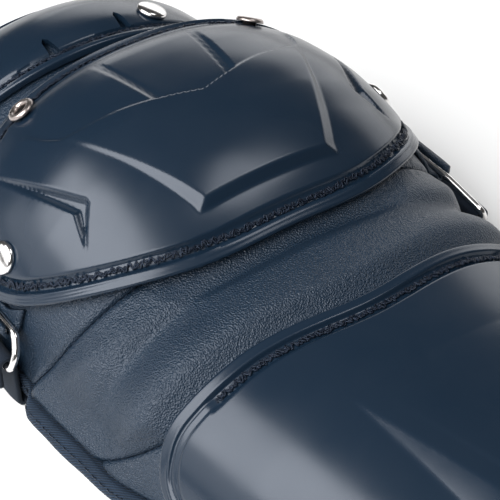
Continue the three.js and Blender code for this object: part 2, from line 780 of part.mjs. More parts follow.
kneeTabs.forEach((loop) => {
  const { place, side, tabY, strapY, upperX, lowerX, topZ, lowZ } = loop;
  const columns = across(tabY, tabWidth, 3).map((y) => tabPath(y, loop));
  add(`knee_tab_${place}`, band(side > 0 ? columns : columns.map(flipped), tabThickness), 'leather');
  const beside = wireDiameter / 2 + 1;
  const highY = Math.max(tabY + tabWidth / 2, strapY + strapWidth / 2) + beside;
  const lowY = strapY - strapWidth / 2 - beside;
  const overFold = foldRadius(strapThickness) + (strapThickness + wireDiameter) / 2 + clearance;
  const bendX = THREE.MathUtils.lerp(lowerX, upperX, overFold / loopHeight);
  const corners = [
    new THREE.Vector3(side * upperX, highY, topZ),
    new THREE.Vector3(side * upperX, tabY - tabWidth / 2 - beside, topZ),
    new THREE.Vector3(side * bendX, lowY, lowZ + overFold),
    new THREE.Vector3(side * lowerX, lowY, lowZ),
    new THREE.Vector3(side * lowerX, highY, lowZ),
  ];
  add(`knee_wire_${place}`, wireLoop(corners, 0.8 * wireDiameter), 'chrome');
});

// The lower straps lie on the shin shell's sides and are riveted to it
const strapTurns = [60, 66, 72, shinSpan];
const strapOut = lipRise + 1.5 * clearance + strapThickness / 2;
const lowerStraps = [
  { name: 'calf_strap', near: 0.72, far: 0.9 },
  { name: 'ankle_strap', near: 0.16, far: 0.2 },
].map(({ name, near, far }) => ({
  name,
  nearY: ankleY + near * shinShellLength,
  farY: ankleY + far * shinShellLength,
}));
function laidEnd(y, side) {
  const onShell = strapTurns.map((t) => onArch(bodyForm, y, t, strapOut));
  return [...onShell, ...underEdge(y, side)];
}
lowerStraps.forEach(({ name, nearY, farY }) => {
  const columns = [-0.5, 0.5].map((share) => [
    ...flipped(laidEnd(nearY + share * strapWidth, -1)),
    ...laidEnd(farY + share * strapWidth, 1).reverse(),
  ]);
  add(name, band(columns, strapThickness), 'webbing');
});

// A solid of revolution round Z from pairs of radius and height
function revolved(profile, sides) {
  const points = profile.map(([radius, height]) => new THREE.Vector2(radius, height));
  return new THREE.LatheGeometry(points, sides).rotateX(Math.PI / 2);
}

// Low domed rivets
const rivetSides = 12;
const rivetProfile = [
  [0, 0],
  [rivetDiameter / 2, 0],
  [rivetDiameter / 2, 0.35 * rivetHeight],
  [0.3 * rivetDiameter, 0.88 * rivetHeight],
  [0, rivetHeight],
];
const kneeRivet = { y: kneeLowY + 0.537 * kneeShellLength, turn: 59 };
const thighRivets = { near: { y: 0.38, turn: -40 }, far: { y: 0.24, turn: 17.6 } };
const strapRivetOut = strapOut + strapThickness / 2 + clearance;
function addRivet(name, y, t, out) {
  add(name, seatOnArch(revolved(rivetProfile, rivetSides), bodyForm, y, t, out), 'chrome');
}
[
  ['near', -1],
  ['far', 1],
].forEach(([place, side]) => {
  addRivet(`knee_rivet_${place}`, kneeRivet.y, side * kneeRivet.turn, clearance);
  const onCap = thighRivets[place];
  addRivet(`thigh_rivet_${place}`, capLowY + onCap.y * thighCapLength, onCap.turn, clearance);
  lowerStraps.forEach(({ name, nearY, farY }) => {
    const turn = (side * (strapTurns[1] + strapTurns[2])) / 2;
    addRivet(`${name}_rivet_${place}`, side < 0 ? nearY : farY, turn, strapRivetOut);
  });
});

// Ring grommets on the knee shell's holes
const grommetRound = (grommetDiameter - grommetBore) / 4;
const grommetProfile = [
  [grommetBore / 2, 0],
  [grommetDiameter / 2, 0],
  [grommetDiameter / 2, 0.4 * grommetHeight],
  [grommetBore / 2 + grommetRound, grommetHeight],
  [grommetBore / 2, 0.4 * grommetHeight],
  [grommetBore / 2, 0],
];
grommetPlaces.forEach(({ side, y, t }) => {
  const name = side < 0 ? 'grommet_near' : 'grommet_far';
  add(name, seatOnArch(revolved(grommetProfile, rivetSides), bodyForm, y, t, lipRise + clearance), 'chrome');
});

export default group;
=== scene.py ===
"""A catcher's leg guard, lying on its straps on a pale floor."""

import math

import bpy
import numpy as np
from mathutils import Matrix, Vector, kdtree


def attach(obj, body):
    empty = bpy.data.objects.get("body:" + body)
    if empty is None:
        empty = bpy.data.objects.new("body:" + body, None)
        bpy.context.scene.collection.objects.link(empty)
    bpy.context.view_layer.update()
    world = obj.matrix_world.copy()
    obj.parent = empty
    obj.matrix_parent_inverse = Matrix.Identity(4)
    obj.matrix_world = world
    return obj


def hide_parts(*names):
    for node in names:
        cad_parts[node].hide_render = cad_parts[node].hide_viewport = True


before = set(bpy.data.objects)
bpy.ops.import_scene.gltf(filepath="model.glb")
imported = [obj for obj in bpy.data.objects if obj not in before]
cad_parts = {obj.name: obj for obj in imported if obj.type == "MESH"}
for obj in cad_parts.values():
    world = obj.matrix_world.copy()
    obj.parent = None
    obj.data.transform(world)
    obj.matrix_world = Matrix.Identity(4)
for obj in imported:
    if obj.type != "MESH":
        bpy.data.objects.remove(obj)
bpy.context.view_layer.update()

MM = 0.001


def add_object(name, data):
    obj = bpy.data.objects.new(name, data)
    bpy.context.scene.collection.objects.link(obj)
    return obj


# Camera: the photograph's frame is square
AZIMUTH, ELEVATION = math.radians(-35), math.radians(41.4)
TARGET, FROM_TARGET = Vector((0, 0.1071, 0.0403)), 0.656
camera = add_object("camera", bpy.data.cameras.new("camera"))
bpy.context.scene.camera = camera
back_way = Vector((
    math.sin(AZIMUTH) * math.cos(ELEVATION),
    -math.cos(AZIMUTH) * math.cos(ELEVATION),
    math.sin(ELEVATION),
))
camera.location = TARGET + back_way * FROM_TARGET
camera.rotation_mode = "QUATERNION"
camera.rotation_quaternion = (-back_way).to_track_quat("-Z", "Y")
camera.data.sensor_width = 36
camera.data.lens = 118.08
camera.data.clip_start, camera.data.clip_end = 0.01, 20

# Sizes in millimetres, as in the model
FOOT_FLAP, HINGE_GAP, SHIN, BAND, KNEE, CAP_GAP, CAP, MARGIN = 92, 0.6, 229, 42, 118, 19, 60, 8
SHELL_WALL, PAD_THICK, CLEARANCE, PAD_CLEARANCE = 3.0, 9.0, 0.3, 1.3
BINDING_WIDTH, BINDING_WALL, BAND_BULGE = 12.0, 1.2, 4.5
LIP_WIDTH, LIP_RISE, CHANNEL_WIDTH, CHANNEL_DEPTH = 5.0, 0.9, 5.0, 1.3
STRAP_WIDTH, STRAP_THICK, TAB_WIDTH, TAB_THICK, WIRE = 36.0, 2.5, 30.0, 2.4, 3.2
LOOP_HEIGHT, FOLD_LENGTH = 12.0, 10.0
FLAP_TURN = math.radians(20)
LIFT = STRAP_THICK + CLEARANCE
INSET = SHELL_WALL + PAD_CLEARANCE
FLAP_REACH = FOOT_FLAP * math.cos(FLAP_TURN) + PAD_THICK * math.sin(FLAP_TURN)
LENGTH = FLAP_REACH + HINGE_GAP + SHIN + BAND + KNEE + CAP_GAP + CAP + MARGIN
ANKLE_Y = -LENGTH / 2 + FLAP_REACH + HINGE_GAP
SHIN_TOP = ANKLE_Y + SHIN
KNEE_LOW = SHIN_TOP + BAND
KNEE_TOP = KNEE_LOW + KNEE
CAP_LOW = KNEE_TOP + CAP_GAP
CAP_TOP = CAP_LOW + CAP
KNEE_PAD_TOP = KNEE_TOP + CAP_GAP / 2
PAD_SPLAY = 7.5
SPLAY_ROWS = np.array([
    (SHIN_TOP, 0), (SHIN_TOP + 0.5 * BAND, 0.75), (KNEE_LOW, 0.9), (KNEE_LOW + 0.25 * KNEE, 1),
    (KNEE_LOW + 0.33 * KNEE, 0.147), (KNEE_LOW + 0.68 * KNEE, 0.147), (KNEE_PAD_TOP, 0),
])


def place(rows, start, length, half, height, lean=0.0):
    """A form's rows: place along, half width, height, squareness and lean, from shares of its sizes."""
    return [(start + along * length, h * half, r * height, square, lean) for along, h, r, square in rows]


KNEE_ROWS = [
    (-0.04, 0.97, 0.68, 2.1), (0.01, 0.975, 0.73, 2.15), (0.14, 0.985, 0.85, 2.2), (0.29, 0.99, 0.94, 2.25),
    (0.42, 1, 0.98, 2.35), (0.58, 1, 1, 2.4), (0.75, 0.99, 0.99, 2.35), (0.88, 0.97, 0.955, 2.3),
    (0.96, 0.96, 0.92, 2.25), (1.02, 0.95, 0.88, 2.2), (1.09, 0.92, 0.8, 2.2),
]
SHIN_ROWS = [
    (0, 0.66, 0.9, 2.2), (0.44, 0.83, 0.96, 2.3), (0.83, 0.96, 1.01, 2.4), (0.99, 1, 1, 2.45),
    (1.08, 1.03, 1.015, 2.5),
]
CAP_ROWS = [
    (0, 1, 0.98, 2), (0.25, 0.99, 1.01, 2), (0.5, 0.98, 0.99, 2), (0.75, 0.96, 0.91, 2),
    (1, 0.93, 0.76, 2), (1.13, 0.91, 0.68, 2),
]
FLAP_ROWS = [(0, 1, 1, 2.2), (0.5, 0.97, 0.98, 2.2)]
SHIN_HALF, SHIN_HEIGHT, KNEE_HALF, KNEE_HEIGHT = 95.0, 67.0, 102.0, 99.0
CAP_HALF, CAP_HEIGHT, CAP_LEAN, FLAP_HALF, FLAP_HEIGHT = 86.0, 78.0, 7.0, 62.0, 58.0
BODY = np.array(
    place(SHIN_ROWS, ANKLE_Y, SHIN, SHIN_HALF, SHIN_HEIGHT)
    + place(KNEE_ROWS, KNEE_LOW, KNEE, KNEE_HALF, KNEE_HEIGHT)
    + place(CAP_ROWS, CAP_LOW, CAP, CAP_HALF, CAP_HEIGHT, CAP_LEAN)
)
FLAP_END = [(0.0,) + tuple(BODY[0][1:])]
FLAP = np.array(place(FLAP_ROWS, -FOOT_FLAP, FOOT_FLAP, FLAP_HALF, FLAP_HEIGHT) + FLAP_END)


def through(form, y, column):
    """A smooth curve through a table's column that never overshoots."""
    xs, ys = form[:, 0], form[:, column]
    step = np.diff(xs)
    slope = np.diff(ys) / step
    m = np.zeros(len(xs))
    m[0], m[-1] = slope[0], slope[-1]
    product = slope[:-1] * slope[1:]
    total = slope[:-1] + slope[1:]
    m[1:-1] = np.where(product > 0, 2 * product / np.where(total == 0, 1, total), 0)
    y = np.clip(y, xs[0], xs[-1])
    i = np.clip(np.searchsorted(xs, y, side="right") - 1, 0, len(step) - 1)
    f = (y - xs[i]) / step[i]
    return (
        ys[i] * (1 + 2 * f) * (1 - f) ** 2 + m[i] * step[i] * f * (1 - f) ** 2
        + ys[i + 1] * f * f * (3 - 2 * f) + m[i + 1] * step[i] * f * f * (f - 1)
    )


def arch(form, y, t):
    """Points of an arch: t is the angle round it in degrees, 0 at the crown."""
    y, t = np.broadcast_arrays(np.asarray(y, float), np.asarray(t, float))
    half, rise, square, lean = (through(form, y, c) for c in (1, 2, 3, 4))
    a = np.radians(t)
    r = (np.abs(np.sin(a) / half) ** square + np.abs(np.cos(a) / rise) ** square) ** (-1 / square)
    b = a + np.radians(lean) * np.cos(a)
    return np.stack([r * np.sin(b), y, LIFT + r * np.cos(b)], -1)


def unit(v):
    return v / np.maximum(np.linalg.norm(v, axis=-1, keepdims=True), 1e-12)


def arch_normal(form, y, t):
    y, t = np.asarray(y, float), np.asarray(t, float)
    across = arch(form, y, t + 0.5) - arch(form, y, t - 0.5)
    along = arch(form, y + 0.5, t) - arch(form, y - 0.5, t)
    return unit(np.cross(across, along))


def on_arch(form, y, t, out):
    return arch(form, y, t) + arch_normal(form, y, t) * np.asarray(out, float)[..., None]


def unroll(form, p):
    """The place along and the angle round the arch of points near it."""
    y = p[..., 1]
    b = np.arctan2(p[..., 0], p[..., 2] - LIFT)
    lean = np.radians(through(form, y, 4))
    a = b.copy()
    for _ in range(4):
        a = b - lean * np.cos(a)
    return y, np.degrees(a)


def smoothstep(x, low, high):
    f = np.clip((x - low) / (high - low), 0, 1)
    return f * f * (3 - 2 * f)


def ramp(distance, width):
    return smoothstep(distance, -width / 2, width / 2)


def ridge(x, centre, width):
    return np.exp(-((x - centre) / width) ** 2)


def rounding(distance, radius):
    """How far a rounded edge falls away at a distance from its rim."""
    inside = np.maximum(radius - distance, 0)
    return radius - np.sqrt(np.maximum(radius ** 2 - inside ** 2, 0))


def cubic(a, b, c, d, f):
    """The smooth curve through four values, at a share f between the middle two."""
    bend, twist = 2 * a - 5 * b + 4 * c - d, 3 * b - a - 3 * c + d
    return 0.5 * (2 * b + (c - a) * f + bend * f * f + twist * f ** 3)


def splay(y, t):
    """How far the near side's pads stand out where no strap draws them in."""
    return PAD_SPLAY * through(SPLAY_ROWS, y, 1) * smoothstep(-np.asarray(t, float), 74, 88)


def soft_noise(points, scale, seed):
    """Smooth value noise of about -1 to 1 over points in millimetres."""
    g = np.random.default_rng(seed)
    total = np.zeros(points.shape[:-1])
    for _ in range(7):
        way = unit(g.normal(size=3))
        total += np.sin(points @ way * (2 * math.pi / scale) * g.uniform(0.6, 1.5) + g.uniform(0, 6.3))
    return total / 3.2


# Mesh makers
def link(name, mesh, material, replaces=()):
    obj = add_object(name, mesh)
    mesh.materials.append(material)
    mesh.shade_smooth()
    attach(obj, "root")
    if replaces:
        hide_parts(*replaces)
    return obj


def mesh_of(name, points, faces):
    mesh = bpy.data.meshes.new(name)
    mesh.from_pydata((np.asarray(points) * MM).tolist(), [], faces)
    mesh.update()
    return mesh


def closed_skins(outer, inner, coarse=1):
    """Vertices and faces of a closed body between two grids of points."""
    m, n = outer.shape[0] - 1, outer.shape[1] - 1
    points = np.concatenate([outer.reshape(-1, 3), inner.reshape(-1, 3)])
    start, width = (m + 1) * (n + 1), n // coarse + 1

    def out(i, j):
        return i * (n + 1) + j

    def inn(i, j):
        return start + (i // coarse) * width + j // coarse

    faces = [
        (out(i, j), out(i + 1, j), out(i + 1, j + 1), out(i, j + 1))
        for i in range(m)
        for j in range(n)
    ]
    faces += [
        (inn(i, j), inn(i, j + coarse), inn(i + coarse, j + coarse), inn(i + coarse, j))
        for i in range(0, m, coarse)
        for j in range(0, n, coarse)
    ]
    rim = [(i, 0) for i in range(m)] + [(m, j) for j in range(n)]
    rim += [(i, n) for i in range(m, 0, -1)] + [(0, j) for j in range(n, 0, -1)]
    for k in range(0, len(rim), coarse):
        corners = [rim[(k + c) % len(rim)] for c in range(coarse + 1)]
        faces.append(tuple(out(*c) for c in reversed(corners)) + (inn(*corners[0]), inn(*corners[-1])))
    return points, faces


def ring_faces(count, sides, closed=False):
    """Faces between rings of points, each ring with its neighbours."""
    faces = []
    for k in range(count if closed else count - 1):
        for c in range(sides):
            p, q = k * sides + c, k * sides + (c + 1) % sides
            up = ((k + 1) % count) * sides
            faces.append((p, q, up + (c + 1) % sides, up + c))
    return faces


def end_faces(count, sides):
    return [tuple(range(sides))[::-1], tuple((count - 1) * sides + c for c in range(sides))]


def tube(path, radius, sides=8, closed=False):
    """A round tube along points, closed into a ring or with flat ends."""
    path = np.asarray(path, float)
    if closed:
        tangent = unit(np.roll(path, -1, 0) - np.roll(path, 1, 0))
    else:
        tangent = unit(np.gradient(path, axis=0))
    side = np.zeros_like(path)
    v = np.cross(tangent[0], (0.3, 0.5, 0.8))
    for k, d in enumerate(tangent):
        v = v - d * v.dot(d)
        v /= np.linalg.norm(v)
        side[k] = v
    other = np.cross(tangent, side)
    if closed:
        # spread the twist that is left over round the ring
        last = side[-1] - tangent[0] * side[-1].dot(tangent[0])
        last /= np.linalg.norm(last)
        twist = math.atan2(np.dot(np.cross(last, side[0]), tangent[0]), last.dot(side[0]))
        turn = np.linspace(0, twist, len(path))[:, None]
        side, other = side * np.cos(turn) + other * np.sin(turn), other * np.cos(turn) - side * np.sin(turn)
    angle = np.arange(sides) * 2 * math.pi / sides
    radius = np.broadcast_to(np.asarray(radius, float), (len(path),))[:, None, None]
    ring = np.cos(angle)[None, :, None] * side[:, None] + np.sin(angle)[None, :, None] * other[:, None]
    points = (path[:, None] + radius * ring).reshape(-1, 3)
    faces = ring_faces(len(path), sides, closed)
    return points, faces if closed else faces + end_faces(len(path), sides)


def gather(parts):
    """One list of points and faces from several."""
    points, faces, start = [], [], 0
    for p, f in parts:
        points.append(np.asarray(p))
        faces += [tuple(i + start for i in face) for face in f]
        start += len(p)
    return np.concatenate(points), faces


def near_line(points, line):
    """The distance from each point to the nearest of a line's points."""
    tree = kdtree.KDTree(len(line))
    for k, p in enumerate(line):
        tree.insert(p, k)
    tree.balance()
    flat = points.reshape(-1, 3)
    found = np.array([tree.find(p)[2] for p in flat])
    return found.reshape(points.shape[:-1])


def run_of(line):
    return np.concatenate([[0], np.cumsum(np.linalg.norm(np.diff(line, axis=0), axis=1))])


def resample(line, count):
    """An even number of steps along a line."""
    run = run_of(line)
    at = np.linspace(0, run[-1], count)
    return np.stack([np.interp(at, run, line[:, c]) for c in range(3)], -1)


def even(line, gap, closed=False):
    """Points at an even gap along a line."""
    line = np.asarray(line, float)
    if closed:
        line = np.concatenate([line, line[:1]])
    points = resample(line, max(2, int(round(run_of(line)[-1] / gap))) + 1)
    return points[:-1] if closed else points


# Materials
def new_material(name):
    material = bpy.data.materials.new(name)
    material.use_nodes = True
    return material, material.node_tree, material.node_tree.nodes["Principled BSDF"]


def put(node, **values):
    """Sets a node's sockets, named with _ for each space, or else its settings."""
    for key, value in values.items():
        socket = key.replace("_", " ")
        if socket in node.inputs:
            node.inputs[socket].default_value = value
        else:
            setattr(node, key, value)


def colour_mix(tree, factor, low, high, target):
    ramp_node = tree.nodes.new("ShaderNodeValToRGB")
    ramp_node.color_ramp.elements[0].color = (*low, 1)
    ramp_node.color_ramp.elements[1].color = (*high, 1)
    tree.links.new(factor, ramp_node.inputs[0])
    tree.links.new(ramp_node.outputs[0], target)
    return ramp_node


def value_range(tree, factor, low, high, target, from_low=0.3, from_high=0.7):
    node = tree.nodes.new("ShaderNodeMapRange")
    put(node, From_Min=from_low, From_Max=from_high, To_Min=low, To_Max=high)
    tree.links.new(factor, node.inputs["Value"])
    tree.links.new(node.outputs[0], target)


def bump_chain(tree, shader, layers):
    """Bump from several heights, each with its strength and depth in metres."""
    last = None
    for height, strength, distance in layers:
        bump = tree.nodes.new("ShaderNodeBump")
        put(bump, Strength=strength, Distance=distance)
        tree.links.new(height, bump.inputs["Height"])
        if last is not None:
            tree.links.new(last, bump.inputs["Normal"])
        last = bump.outputs["Normal"]
    tree.links.new(last, shader.inputs["Normal"])


def texture_on(tree, kind, scale, **settings):
    """A texture over the object's own coordinates; the scale counts per metre."""
    coordinates = tree.nodes.new("ShaderNodeTexCoord")
    texture = tree.nodes.new(kind)
    put(texture, Scale=scale, **settings)
    tree.links.new(coordinates.outputs["Object"], texture.inputs["Vector"])
    return texture


def noise_on(tree, scale, **settings):
    return texture_on(tree, "ShaderNodeTexNoise", scale, **settings).outputs["Fac"]


SPECULAR_TINT, CLOTH_TINT = (0.88, 0.92, 1.0, 1), (0.6, 0.78, 1.0, 1)


def make_plastic(name, low, high, rough_low, rough_high):
    material, tree, shader = new_material(name)
    broad = noise_on(tree, 18, Detail=3.0)
    fine = noise_on(tree, 1500, Detail=2.0)
    smear = noise_on(tree, 60, Detail=6.0, Distortion=0.6)
    colour_mix(tree, broad, low, high, shader.inputs["Base Color"])
    value_range(tree, smear, rough_low, rough_high, shader.inputs["Roughness"])
    put(shader, IOR=1.5, Specular_IOR_Level=0.5, Specular_Tint=SPECULAR_TINT)
    bump_chain(tree, shader, [(broad, 0.1, 0.001), (fine, 0.12, 0.00007)])
    return material


def make_leather(name, low, high, rough=0.35, cells_scale=1700):
    material, tree, shader = new_material(name)
    cells = texture_on(tree, "ShaderNodeTexVoronoi", cells_scale, feature="SMOOTH_F1").outputs["Distance"]
    broad = noise_on(tree, 50, Detail=4.0)
    fine = noise_on(tree, 3200, Detail=2.0)
    colour_mix(tree, broad, low, high, shader.inputs["Base Color"])
    value_range(tree, cells, rough - 0.05, rough + 0.1, shader.inputs["Roughness"], 0.0, 0.6)
    put(shader, Specular_IOR_Level=0.5, Specular_Tint=SPECULAR_TINT)
    bump_chain(tree, shader, [(broad, 0.15, 0.0006), (cells, 1.0, 0.00052), (fine, 0.2, 0.00006)])
    return material


def make_weave(name, low, high, scale, rough=0.85, ribs="DIAGONAL", bump=0.7, depth=0.0003):
    material, tree, shader = new_material(name)
    rib = texture_on(tree, "ShaderNodeTexWave", scale, wave_type="BANDS", bands_direction=ribs)
    put(rib, Distortion=0.8, Detail=2.0, Detail_Scale=2.5)
    fuzz = noise_on(tree, 1900, Detail=4.0)
    broad = noise_on(tree, 90, Detail=3.0)
    mix = tree.nodes.new("ShaderNodeMath")
    mix.operation = "MULTIPLY"
    tree.links.new(rib.outputs["Fac"], mix.inputs[0])
    tree.links.new(broad, mix.inputs[1])
    ramp_node = colour_mix(tree, mix.outputs[0], low, high, shader.inputs["Base Color"])
    ramp_node.color_ramp.elements[1].position = 0.6
    put(shader, Roughness=rough, Sheen_Weight=0.015, Sheen_Roughness=0.5, Specular_Tint=CLOTH_TINT)
    bump_chain(tree, shader, [(rib.outputs["Fac"], bump, depth), (fuzz, 0.4, 0.0002)])
    return material


def make_thread(name, low, high, rough):
    material, tree, shader = new_material(name)
    strand = noise_on(tree, 1300, Detail=3.0, Distortion=1.5)
    ramp_node = colour_mix(tree, strand, low, high, shader.inputs["Base Color"])
    ramp_node.color_ramp.elements[0].position = 0.45
    ramp_node.color_ramp.elements[1].position = 0.75
    put(shader, Roughness=rough, Specular_IOR_Level=0.35, Specular_Tint=(0.6, 0.74, 1.0, 1))
    bump_chain(tree, shader, [(strand, 0.8, 0.0003)])
    return material


def make_metal(name, colour, rough):
    material, tree, shader = new_material(name)
    wear = noise_on(tree, 260, Detail=6.0, Distortion=0.4)
    shader.inputs["Metallic"].default_value = 1
    dark = tuple(0.78 * c for c in colour)
    colour_mix(tree, wear, dark, colour, shader.inputs["Base Color"])
    value_range(tree, wear, rough, rough + 0.12, shader.inputs["Roughness"])
    bump_chain(tree, shader, [(wear, 0.1, 0.0002)])
    return material


# Colours are the darkest and the lightest of each material
PLASTIC = make_plastic("moulded_plastic", (0.0056, 0.0138, 0.0270), (0.0068, 0.0162, 0.0305), 0.22, 0.27)
LEATHER = make_leather("leatherette", (0.0064, 0.0165, 0.0320), (0.0084, 0.0205, 0.0385))
TAPE = make_weave("edge_twill", (0.0020, 0.005, 0.012), (0.015, 0.030, 0.058), 400, bump=1.0, depth=0.0005)
WEBBING = make_weave("strap_webbing", (0.003, 0.0040, 0.007), (0.010, 0.014, 0.025), 520, ribs="Y")
THREAD = make_thread("sewing_thread", (0.0010, 0.0018, 0.0045), (0.016, 0.024, 0.042), 0.3)
CHROME = make_metal("chrome", (0.86, 0.84, 0.83), 0.1)
NICKEL = make_metal("nickel", (0.42, 0.37, 0.35), 0.26)

# Rims of the shells
KNEE_SPAN, KNEE_TURN, KNEE_POWER, KNEE_REACH = 68.5, 72.0, 3.7, 0.57
SHIN_SPAN, SHIN_BOW, SHIN_DROP, SHIN_START = 78.0, 5.0, 14.0, 58.0
CAP_SPAN, FLAP_SPAN, EDGE_TURN = 66.0, 62.0, 90.0


def curved(middle, reach, turn, power):
    """A rim that runs along the leg by reach at a turn from the crown."""
    return lambda t: middle + reach * (np.abs(t) / turn) ** power


knee_low = curved(KNEE_LOW, KNEE_REACH * KNEE, KNEE_TURN, KNEE_POWER)
knee_high = curved(KNEE_TOP, -0.42 * KNEE, KNEE_TURN, 4)
shin_low = curved(ANKLE_Y, SHIN_DROP, SHIN_SPAN, 4)
cap_low = curved(CAP_LOW, 0.3 * CAP, CAP_SPAN, 2.4)
cap_high = curved(CAP_TOP, -0.35 * CAP, CAP_SPAN, 3)
flap_low = curved(-FOOT_FLAP, 0.4 * FOOT_FLAP, FLAP_SPAN, 3)
flap_high = curved(0, -0.12 * FOOT_FLAP, FLAP_SPAN, 2)
upper_seam = curved(KNEE_LOW + 0.06 * KNEE, 0.86 * BAND, EDGE_TURN, 3)
lower_seam = curved(SHIN_TOP - 5, 1.3 * BAND, EDGE_TURN, 5.5)


def shin_high(t):
    past = np.maximum(0, np.abs(t) - SHIN_START) / (SHIN_SPAN - SHIN_START)
    return SHIN_TOP + SHIN_BOW * smoothstep(np.abs(t), 0, 42) - SHIN_DROP * past ** 2


def round_corner(t, span, turn, radius):
    """How far a rim turns in near a shell's side."""
    c = np.clip((np.abs(t) - (span - turn)) / turn, 0, 1)
    return radius * (1 - np.sqrt(np.maximum(1 - c * c, 0)))


def rim_relief(distance, narrow, sewn):
    """A flared lip and, where it is sewn, a channel behind it; narrow scales their widths."""
    at = distance / narrow
    lip = LIP_RISE * (1 - ramp(at - LIP_WIDTH, 2))
    channel = ramp(at - LIP_WIDTH, 1.2) - ramp(at - LIP_WIDTH - CHANNEL_WIDTH, 1.6)
    return lip - CHANNEL_DEPTH * channel * sewn


def inside_stroke(a, y, stroke):
    from_a, from_y, to_a, to_y, from_half, to_half = stroke
    dx, dy = to_a - from_a, to_y - from_y
    along = np.clip(((a - from_a) * dx + (y - from_y) * dy) / (dx * dx + dy * dy), 0, 1)
    half = from_half + (to_half - from_half) * along
    return half - np.hypot(a - from_a - dx * along, y - from_y - dy * along)


# Knee relief: shares of the knee shell's half width (a) and of its length (b)
SHIELD_TOP = np.array([
    (0, 0.512), (0.184, 0.558), (0.308, 0.589), (0.555, 0.641), (0.605, 0.694), (0.652, 0.782),
])
BOTTOM_A, BOTTOM_B, SIDE_A, SIDE_B, FOOT_A, FOOT_B = 0.316, 0.164, 0.555, 0.641, 0.065, 0.032
VENTS = [(0.835, 0.745, 0.685, 0.394, 0.006, 0.036), (0.68, 0.392, 0.79, 0.28, 0.034, 0.005)]
SHIELD_RISE, SHOULDER_DEPTH, PANEL_DEPTH, VENT_DEPTH, VENT_SLOPE = 2.4, 0.9, 1.2, 2.4, 2.0
EDGE_SOFT = 1.3
# the near flank's share of wall height that is missing, and the length over which it goes
NEAR_LOWER, NEAR_THINNER, NEAR_FADE = 0.42, 0.5, 16
PANEL_LOW_A, PANEL_HIGH_A, PANEL_LOW_B, PANEL_HIGH_B = 0.184, 0.25, 0.55, 0.88
SIDE_FADE, CROWN_FALL, CROWN_FALL_FROM, CROWN_FALL_TO = (0.6, 0.7), 1.1, 0.85, 0.95
LEDGE_RISE, LEDGE_IN, LEDGE_HALF = 0.35, 3.2, 0.5


def knee_a(share):
    return share * KNEE_HALF


def knee_b(share):
    return share * KNEE


def shield_height(a, b, t):
    """The shield stands off most at its lower corners, on walls that widen towards them.

    Its near flank is slighter.
    """
    corner_a = knee_a(BOTTOM_A)
    near = (t < 0) * smoothstep(a, corner_a - 1, corner_a + NEAR_FADE)
    up = np.clip((b / KNEE - BOTTOM_B) / (SIDE_B - BOTTOM_B), 0, 1)
    side_a = knee_a(BOTTOM_A + (SIDE_A - BOTTOM_A) * up)
    side_wall = knee_a(FOOT_A) * (1 - up) * (1 - NEAR_THINNER * near) + 0.1
    foot = knee_b(FOOT_B) * (1 - NEAR_THINNER * near)
    down = np.maximum((a - side_a) / side_wall, (knee_b(BOTTOM_B) - b) / foot)
    down = np.clip(down, 0, 1)
    return SHIELD_RISE * (1 - NEAR_LOWER * near) * (1 - up) * (1 - down)


def vent_depth(a, b):
    """Two faceted strokes that meet; each falls to a keel along its middle."""
    deepest = 0
    for from_a, from_b, to_a, to_b, from_half, to_half in VENTS:
        halves = (knee_a(from_half), knee_a(to_half))
        stroke = (knee_a(from_a), knee_b(from_b), knee_a(to_a), knee_b(to_b), *halves)
        deepest = np.maximum(deepest, np.clip(inside_stroke(a, b, stroke) / VENT_SLOPE, 0, 1))
    return VENT_DEPTH * deepest


def knee_relief(y, t):
    a = KNEE_HALF * np.radians(np.abs(t))
    b = y - KNEE_LOW
    above = b - knee_b(through(SHIELD_TOP, a / KNEE_HALF, 1))
    up = (b / KNEE - PANEL_LOW_B) / (PANEL_HIGH_B - PANEL_LOW_B)
    panel_a = knee_a(PANEL_LOW_A + (PANEL_HIGH_A - PANEL_LOW_A) * up)
    side_fade = 1 - smoothstep(a, knee_a(SIDE_FADE[0]), knee_a(SIDE_FADE[1]))
    upper = ramp(above, EDGE_SOFT) * smoothstep(knee_b(0.95) - b, 0, knee_b(0.2)) * side_fade
    # the panel's flank carries a fine second line
    ledge = LEDGE_RISE * ridge(panel_a - a, LEDGE_IN, LEDGE_HALF) * ramp(above, 2)
    ledge = ledge * ramp(knee_b(PANEL_HIGH_B) - b, 3)
    panel = PANEL_DEPTH * ramp(panel_a - a, 1.8)
    return (
        shield_height(a, b, t) * (1 - ramp(above, EDGE_SOFT))
        - upper * (SHOULDER_DEPTH + panel) - ledge
        - vent_depth(a, b)
        - CROWN_FALL * smoothstep(b, knee_b(CROWN_FALL_FROM), knee_b(CROWN_FALL_TO)) * side_fade
    )


WEDGE_TOP, WEDGE_OUT, WEDGE_WIDENS, WEDGE_WIDTH, WEDGE_RISE = 0.841, 0.478, 0.282, 0.23, 4.5
CREASE_FROM, CREASE_FADE, CREASE_TURN, CREASE_LEAN, CREASE_DEPTH, CREASE_END = 45, 60, 19.4, 0.185, 0.3, 27


def shin_panel(y, t):
    """The shin shell's middle stands off between two walls that widen towards the ankle."""
    a = SHIN_HALF * np.radians(np.abs(t))
    down = np.maximum(0, ANKLE_Y + WEDGE_TOP * SHIN - y)
    full_wall = WEDGE_WIDTH * SHIN_HALF
    wall = np.minimum(WEDGE_WIDENS * down, full_wall)
    up = np.clip((WEDGE_OUT * SHIN_HALF - a) / np.maximum(wall, 0.1), 0, 1)
    return WEDGE_RISE * wall * up / full_wall


def shin_relief(y, t):
    """The panel, with a faint crease that runs down inside each wall."""
    turn = np.abs(t)
    down = np.clip((SHIN_TOP - CREASE_FROM - y) / CREASE_FADE, 0, 1)
    line = CREASE_TURN - CREASE_LEAN * np.maximum(0, SHIN_TOP - CREASE_FROM - 4 - y)
    crease = CREASE_DEPTH * smoothstep(turn, line - 0.4, line + 0.4) * down * (line > 4)
    return shin_panel(y, t) - crease * (turn < CREASE_END)


